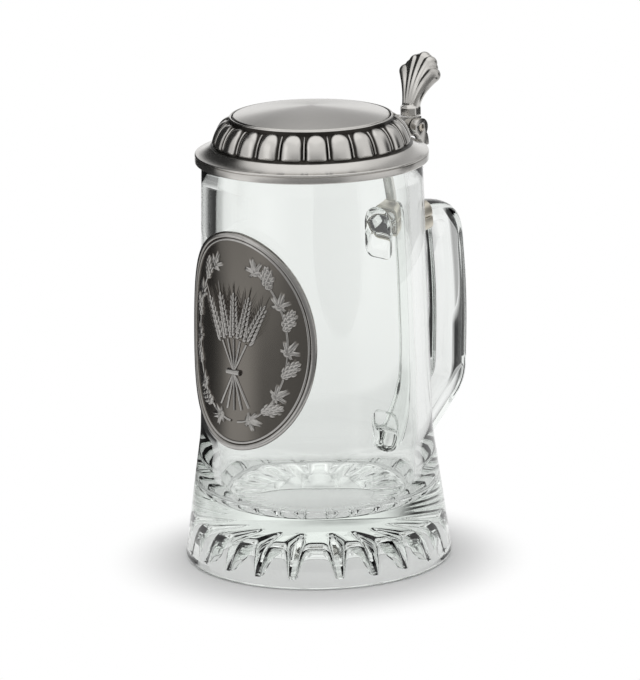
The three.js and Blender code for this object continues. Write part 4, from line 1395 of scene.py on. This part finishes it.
@dataclass
class Badge:
    """The oval badge with hops and barley in relief, sizes in millimetres."""

    vessel: GlassVessel
    shapes: Ornaments = field(default_factory=Ornaments)
    bottom: float = 52.0
    height: float = 85.3
    arc: float = 66.8
    back: float = 1.0
    plate: float = 0.8
    rim_width: float = 2.4
    rim_rise: float = 1.0
    bead_width: float = 1.2
    bead_rise: float = 0.6
    sides: int = 192
    back_shares: tuple[float, float, int] = (0.05, 1.0, 16)
    ground_shares: tuple[float, float, int] = (1.0, 0.04, 26)
    edge_share: float = 0.5
    edge_patina: float = 0.2
    wreath_width: float = 22.6
    wreath_height: float = 31.5
    wreath_span: Pair = (-86.0, 60.0)
    sprig_span: Pair = (-72.0, 64.0)
    sprigs: int = 9
    vine_points: int = 25
    vine_width: float = 1.0
    cone_lean: float = 150.0
    cone_size: float = 0.66
    leaf_lean: float = 38.0
    leaf_size: float = 0.68
    tie_height: float = -12.0
    tie_half: float = 3.0
    tie_width: float = 2.4
    straw_up: float = 13.0
    straw_down: float = 15.0
    straw_widths: Pair = (1.0, 1.1)
    ear_leans: tuple[float, ...] = (-27.0, -13.5, 0.0, 13.5, 27.0)
    ear_size: float = 0.92
    ground_patina: float = 0.9
    relief_rub: float = 0.5
    relief_height: float = 0.4

    @property
    def middle(self) -> float:
        """Height of the oval's middle."""
        return self.bottom + self.height / 2

    def wrapped(self, flat: np.ndarray) -> np.ndarray:
        """Bends flat points, to the right, up and out of its back, round the wall opposite the handle."""
        rise = self.middle + flat[:, 1]
        radius = self.vessel.wall_radius(rise) + self.back + flat[:, 2]
        turn = math.pi + flat[:, 0] / self.vessel.wall_radius(self.middle)
        return ring(radius, turn, rise)

    def _oval(self, inset: float, share: float, lift: float) -> np.ndarray:
        """Flat points round the oval."""
        turn = full_turn(self.sides)
        along = (self.arc / 2 - inset) * share * np.cos(turn)
        up = (self.height / 2 - inset) * share * np.sin(turn)
        return np.column_stack((along, up, np.full(self.sides, lift)))

    def _plate(self) -> Shell:
        """The closed oval plate with its double border."""
        rows = [self._oval(0.0, share, 0.0) for share in np.linspace(*self.back_shares)]
        dark = [np.zeros(self.sides) for _ in rows]
        border = [(0.0, self.plate * self.edge_share, self.edge_patina)]
        inner = 0.0
        for width, rise, power, rub, first, steps, valley in (
            (self.rim_width, self.rim_rise, 0.8, 0.72, 0.12, 13, 0.1),
            (self.bead_width, self.bead_rise, 1.0, 0.75, 0.1, 7, 0.0),
        ):
            for inset in np.linspace(first, width - first, steps):
                bulge = math.sqrt(1.0 - (2 * inset / width - 1.0) ** 2)
                border.append((inner + inset, self.plate + rise * bulge ** power, 1.0 - bulge * rub))
            inner += width
            border.append((inner, self.plate + valley, 1.0))
        for inset, lift, mask in border:
            rows.append(self._oval(inset, 1.0, lift))
            dark.append(np.full(self.sides, mask))
        for share in np.linspace(*self.ground_shares)[1:]:
            rows.append(self._oval(inner, share, self.plate))
            dark.append(np.full(self.sides, self.ground_patina))
        shell = skin([pole(0.0), *rows, pole(self.plate)], closed=True)
        shell.points = self.wrapped(shell.points)
        shell.marks[PATINA_AND_SHADE] = np.concatenate(([0.0], *dark, [self.ground_patina]))
        return shell

    @staticmethod
    def _repeated(shell: Shell, recipe: Recipe, finish: bpy.types.Material, **sizes: Any) -> Shell:
        """Runs a recipe on a flat shell and returns the result in millimetres."""
        obj = shell.piece("ornament", Vector())
        recipe.run(obj, Finish=finish, **sizes)
        spots = read(obj.data.vertices, "co", 3)
        faces = [tuple(polygon.vertices) for polygon in obj.data.polygons]
        bpy.data.objects.remove(obj)
        return Shell(spots / MM, faces)

    def _relief(self, finish: bpy.types.Material) -> dict[str, Shell]:
        """Flat ornaments, ready to be bent round the wall."""
        ear = self._repeated(self.shapes.grain(), ear_recipe(), finish, Rows=8, Pitch=2.3 * MM,
                             Spread=1.25 * MM, Splay=0.3, Taper=0.42)
        cone = self._repeated(self.shapes.bract(), cone_recipe(), finish, Rows=6, Pitch=2.1 * MM,
                              Width=2.5 * MM, Splay=0.55)
        tie, stalk = (0.0, self.tie_height), self.shapes.stalk
        above, below = self.straw_widths
        ends = [(side * self.tie_half, self.tie_height) for side in (-1.0, 1.0)]
        barley = stalk(ends, self.tie_width)
        for lean in self.ear_leans:
            x, y = -math.sin(math.radians(lean)), math.cos(math.radians(lean))
            foot = (x * self.straw_up, self.tie_height + y * self.straw_up)
            end = (-x * self.straw_down, self.tie_height - y * self.straw_down)
            for part in (stalk([tie, foot], above), stalk([tie, end], below),
                         ear.moved(lean, *foot, self.ear_size)):
                barley = barley.joined(part)
        hops = self._wreath(cone, -1.0).joined(self._wreath(cone, 1.0))
        return {"badge_barley": barley, "badge_hops": hops}

    def _wreath(self, cone: Shell, side: float) -> Shell:
        """One half of the hop wreath, with leaves and cones by turns.

        Args:
            cone: A flat hop cone.
            side: -1 for the left half and 1 for the right.

        Returns:
            The flat half wreath.
        """
        def spot(turn: float) -> Pair:
            """A point of the wreath's line at a turn in degrees."""
            here = math.radians(turn)
            return side * self.wreath_width * math.cos(here), self.wreath_height * math.sin(here)

        line = [spot(turn) for turn in np.linspace(*self.wreath_span, self.vine_points)]
        wreath = self.shapes.stalk(line, self.vine_width)
        for step, turn in enumerate(np.linspace(*self.sprig_span, self.sprigs)):
            (x, y), (after_x, after_y) = spot(turn), spot(turn + 1.0)
            lean = math.degrees(math.atan2(x - after_x, after_y - y))
            if step % 2:
                sprig = cone.moved(lean + side * self.cone_lean, x, y, self.cone_size)
            else:
                sprig = self.shapes.leaf().moved(lean - side * self.leaf_lean, x, y, self.leaf_size)
            wreath = wreath.joined(sprig)
        return wreath

    def build(self, finish: Pewter) -> None:
        """Builds and dresses the badge and its relief."""
        material = finish.material()
        plate = self._plate().piece("badge_plate")
        settle(plate, sharp=60.0)
        hand_over(plate, material, Body.MUG, Slot.DARK_PEWTER, "badge_plaque")
        for name, flat in self._relief(material).items():
            rubbed = eased(flat.points[:, 2], 0.0, self.relief_height) * self.relief_rub
            flat.marks[PATINA_AND_SHADE] = self.ground_patina - rubbed
            flat.points = self.wrapped(flat.points + (0.0, 0.0, self.plate))
            piece = flat.piece(name)
            settle(piece, sharp=50.0)
            hand_over(piece, material, Body.MUG, Slot.DARK_PEWTER)


@dataclass
class Studio:
    """Camera, floor, cards and lights, sizes in metres."""

    azimuth: float = -47.8
    elevation: float = 14.03
    distance: float = 1.8
    target_height: float = 0.095
    roll: float = 1.056
    focal_pixels: float = 4626.0
    principal: Pair = (314.81, 317.24)
    image: tuple[int, int] = (640, 680)
    sensor: float = 36.0
    far: float = 20.0
    bounces: int = 24
    world_light: float = 0.8
    floor_size: float = 3.0
    floor_tone: float = 0.87
    painted_light_under_glass: float = 0.6
    glass_grey_and_painted_shade: float = 0.17
    painted_shade_near_mug: float = 0.1
    painted_shade_reach: Pair = (0.15, 0.5)
    shadow_shift: float = 0.008
    shadow_reach: Pair = (0.049, 0.085)
    card_step: float = 2.0
    feather: float = 8.0
    one_wall: float = 2.5
    lamp_aim: float = 0.1
    wall_tones: Pairs = (
        (-172.0, 1.0), (-160.0, 0.8), (-146.0, 0.05), (-118.0, 0.05), (-112.0, 0.7), (-66.0, 0.8),
        (-50.0, 1.25), (-40.0, 1.0), (-20.0, 0.45), (10.0, 0.42), (40.0, 0.7), (62.0, 1.0), (82.0, 0.9),
        (110.0, 0.72), (150.0, 0.75), (166.0, 1.0))

    def axes(self) -> tuple[Vector, Vector, Vector]:
        """Returns the view's right, up and back directions, level with the horizon."""
        turn, rise = math.radians(self.azimuth), math.radians(self.elevation)
        right = Vector((math.cos(turn), math.sin(turn), 0.0))
        back = Vector((math.sin(turn) * math.cos(rise), -math.cos(turn) * math.cos(rise), math.sin(rise)))
        return right, back.cross(right), back

    def camera(self) -> None:
        """Sets up the camera at the photograph's viewing angle."""
        right, up, back = self.axes()
        c, s = math.cos(math.radians(self.roll)), math.sin(math.radians(self.roll))
        level = Matrix((right * c - up * s, right * s + up * c, back)).transposed()
        lens = bpy.data.cameras.new("camera")
        width, height = self.image
        lens.sensor_fit = "VERTICAL"
        lens.sensor_height = self.sensor
        lens.lens = self.focal_pixels * self.sensor / height
        lens.shift_x = (width / 2 - self.principal[0]) / height
        lens.shift_y = (self.principal[1] - height / 2) / height
        lens.clip_end = self.far
        camera = linked("camera", lens)
        place = AXIS + Vector((0.0, 0.0, self.target_height)) + back * self.distance
        camera.matrix_world = Matrix.Translation(place) @ level.to_4x4()
        bpy.context.scene.camera = camera

    @staticmethod
    def _seen(graph: Graph) -> Value:
        """1 for rays that show a background: camera, glossy and transmission rays."""
        path = graph.add("ShaderNodeLightPath")
        return path["Is Camera Ray"].most(path["Is Glossy Ray"]).most(path["Is Transmission Ray"])

    def world(self) -> None:
        """Fills the surroundings with white."""
        world = bpy.data.worlds.new("studio")
        bpy.context.scene.world = world
        world.use_nodes = True
        graph = Graph(world.node_tree)
        world.node_tree.nodes.clear()
        strength = self.world_light + self._seen(graph) * (1.0 - self.world_light)
        light = graph.add("ShaderNodeBackground", {"Color": WHITE, "Strength": strength})
        graph.add("ShaderNodeOutputWorld", {"Surface": light["Background"]})

    def floor(self) -> None:
        """Lays a pale floor that keeps the shadow and fades to white; the shaded paper near the mug, darker
        than the white beyond, paints part of the shadow.
        """
        half = self.floor_size
        mesh = bpy.data.meshes.new("floor")
        mesh.from_pydata([(-half, -half, 0), (half, -half, 0), (half, half, 0), (-half, half, 0)], [],
                         [(0, 1, 2, 3)])
        floor = linked("floor", mesh)
        graph = Dressing("pale_floor")
        radius = graph.radius(graph.place())
        back = self.axes()[2]
        # The ring where the paper gives way to white is moved towards the camera, which paints the shadow
        # deeper in front.
        shift = tuple(-self.shadow_shift * part for part in (back.x, back.y, 0.0))
        nearer = graph.add("ShaderNodeVectorMath", {0: graph.place(), 1: shift}, operation="ADD")["Vector"]
        away = graph.radius(nearer).eased(*self.shadow_reach)
        through = graph.add("ShaderNodeLightPath")["Is Transmission Ray"]
        # The white seen through the glass is dimmed: a greyer backdrop all over, and painted shade that
        # deepens near the mug.
        fall = self.glass_grey_and_painted_shade - radius.eased(*self.painted_shade_reach) * self.painted_shade_near_mug
        # The paper's tone is kept low so that the painted ring of shade round the foot is darker.
        paper = graph.add("ShaderNodeBsdfDiffuse", {"Color": (self.floor_tone,) * 3 + (1.0,)})["BSDF"]
        # Through the glass the floor glows even under the mug: painted light standing for light that passes
        # through the glass.
        shown = away.most(through * self.painted_light_under_glass) * self._seen(graph)
        dress(floor, graph.lit(paper, shown, 1.0 - through * fall))

    @staticmethod
    def _upright(reach: float, top: float, end: float) -> Triples:
        """Levels of a card that stands on the floor and fades out over its top."""
        return (reach, 0.0, 1.0), (reach, top, 1.0), (reach, end, 0.0)

    @staticmethod
    def _lying(height: float, start: float, near: float, far: float, end: float) -> Triples:
        """Levels of a card that lies over the floor and fades out at both of its edges."""
        return (start, height, 0.0), (near, height, 1.0), (far, height, 1.0), (end, height, 0.0)

    def _card(self, name: str, tones: Pairs, levels: Triples, through: bool = True,
              least: float = 0.0, shallow: bool = False) -> None:
        """Stands a curved card round the mug, out of the camera's view.

        Args:
            name: Its name.
            tones: Brightness at angles to the right of the camera.
            levels: Distance from the mug, height and opacity of each of its level lines.
            through: Whether it shows through the glass.
            least: Its least brightness through both walls of the mug.
            shallow: Whether it shows through one wall or bar of glass only.
        """
        back = self.axes()[2]
        first = math.degrees(math.atan2(back.y, back.x))
        angles = np.arange(tones[0][0], tones[-1][0] + self.card_step / 2, self.card_step)
        turn = np.radians(angles + first)
        shell = skin([ring(reach, turn, height) / MM for reach, height, _ in levels], closed=False)
        shell.marks["tone"] = np.tile(np.interp(angles, *zip(*tones)), len(levels))
        fade = np.clip(np.minimum(angles - angles[0], angles[-1] - angles) / self.feather, 0.0, 1.0)
        shell.marks["body"] = np.concatenate([fade * opacity for _, _, opacity in levels])
        card = shell.piece(name)
        for ray in ("camera", "diffuse", "shadow"):
            setattr(card, "visible_" + ray, False)
        card.visible_transmission = through
        graph = Dressing(name)
        tone, body = (graph.add("ShaderNodeAttribute", attribute_name=label)["Fac"]
                      for label in ("tone", "body"))
        depth = graph.add("ShaderNodeLightPath")["Transmission Depth"]
        deep = graph.math("GREATER_THAN", depth, self.one_wall)
        if shallow:
            body = body * (1.0 - deep)
        if least:
            tone = tone.most(deep * least)
        clear = graph.add("ShaderNodeBsdfTransparent", {"Color": WHITE})["BSDF"]
        dress(card, graph.lit(clear, body, tone))

    def cards(self) -> None:
        """Stands pale, grey and dark cards about, which draw the edges of glass and metal."""
        self._card("card_wall", self.wall_tones, self._upright(0.6, 0.34, 0.52), least=0.6)
        self._card("card_header", ((138.0, 0.5), (222.0, 0.5)),
                   ((0.9, 0.38, 0.0), (0.9, 0.48, 1.0), (0.9, 1.0, 1.0), (0.9, 1.3, 0.0)))
        self._card("card_left", ((-168.0, 0.03), (-108.0, 0.03), (-98.0, 0.7)),
                   self._upright(0.59, 0.72, 0.92), through=False)
        self._card("card_right", ((89.0, 0.03), (113.0, 0.03), (118.0, 0.5), (160.0, 0.5)),
                   self._upright(0.58, 0.3, 0.5), through=False)
        for name, first, last, tone, levels in (
            ("card_near_floor", -184.0, -112.0, 0.05, self._lying(0.001, 0.1, 0.15, 0.365, 0.385)),
            ("card_side_floor", -124.0, 110.0, 0.03, self._lying(0.0012, 0.2, 0.23, 0.365, 0.385)),
            ("card_far_floor", -178.0, -112.0, 0.4, self._lying(0.001, 0.365, 0.385, 0.5, 0.58)),
        ):
            self._card(name, ((first, tone), (last, tone)), levels, shallow=True)
        self._card("card_front_floor",
                   ((-160.0, 0.03), (-112.0, 0.05), (-98.0, 0.25), (-84.0, 1.2), (-66.0, 1.2),
                    (-50.0, 0.34), (-10.0, 0.3), (26.0, 0.26), (44.0, 0.9)),
                   ((0.2, 0.002, 0.0), (0.24, 0.002, 1.0), (0.59, 0.002, 1.0)), through=False)

    def lamps(self) -> None:
        """Hangs soft boxes above and beside the mug."""
        right, _, back = self.axes()
        middle = Vector((AXIS.x, AXIS.y, self.lamp_aim))
        for name, place, size, power in (
            ("top_box", Vector((0.0, 0.0, 1.2)), 1.3, 1.4),
            ("side_box", right * -0.8 + back * 0.5 + Vector((0, 0, 0.5)), 0.5, 0.25),
        ):
            lamp = bpy.data.lights.new(name, "AREA")
            lamp.shape = "SQUARE"
            lamp.size = size
            lamp.energy = power
            turn = place.to_track_quat("Z", "Y")
            linked(name, lamp).matrix_world = Matrix.Translation(middle + place) @ turn.to_matrix().to_4x4()

    def build(self) -> None:
        """Builds the whole studio."""
        self.camera()
        self.world()
        self.floor()
        self.cards()
        self.lamps()
        scene = bpy.context.scene
        scene.view_settings.view_transform = "Standard"
        scene.cycles.max_bounces = self.bounces
        scene.cycles.transmission_bounces = self.bounces


def dress_hidden() -> None:
    """Dresses the thin pieces that stay as the CAD has them."""
    films = {
        "badge_adhesive": SoftFilm("badge_glue", (0.5, 0.5, 0.47, 1.0), (0.4, 0.4, 0.38, 1.0)),
        "band_packing": SoftFilm("cork_packing", (0.62, 0.56, 0.45, 1.0), (0.42, 0.36, 0.27, 1.0), 1600.0),
    }
    for node, film in films.items():
        dress(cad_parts[node], film.material())
        LOG.info("%s: dressed", node)


def main() -> None:
    """Builds every piece in order."""
    logging.basicConfig(level=logging.INFO, format="%(name)s %(message)s")
    Studio().build()
    vessel = GlassVessel()
    vessel.build(ClearGlass())
    PewterLid().build(Pewter("turned_pewter", Grain.TURNED, roughness=0.22, anisotropy=0.8))
    cast = Pewter("cast_pewter", Grain.CAST)
    ThumbLift().build(cast)
    HingeWork().build(cast, Pewter("band_pewter", Grain.CAST, bright=(0.66, 0.62, 0.53, 1.0), roughness=0.36),
                      Pewter("pin_steel", Grain.CAST, bright=(0.5, 0.46, 0.4, 1.0)))
    Badge(vessel).build(Pewter("badge_pewter", Grain.CAST, bright=(0.44, 0.43, 0.415, 1.0),
                               dark=(0.16, 0.148, 0.132, 1.0), roughness=0.16, dark_roughness=0.2))
    dress_hidden()


if __name__ == "__main__":
    main()
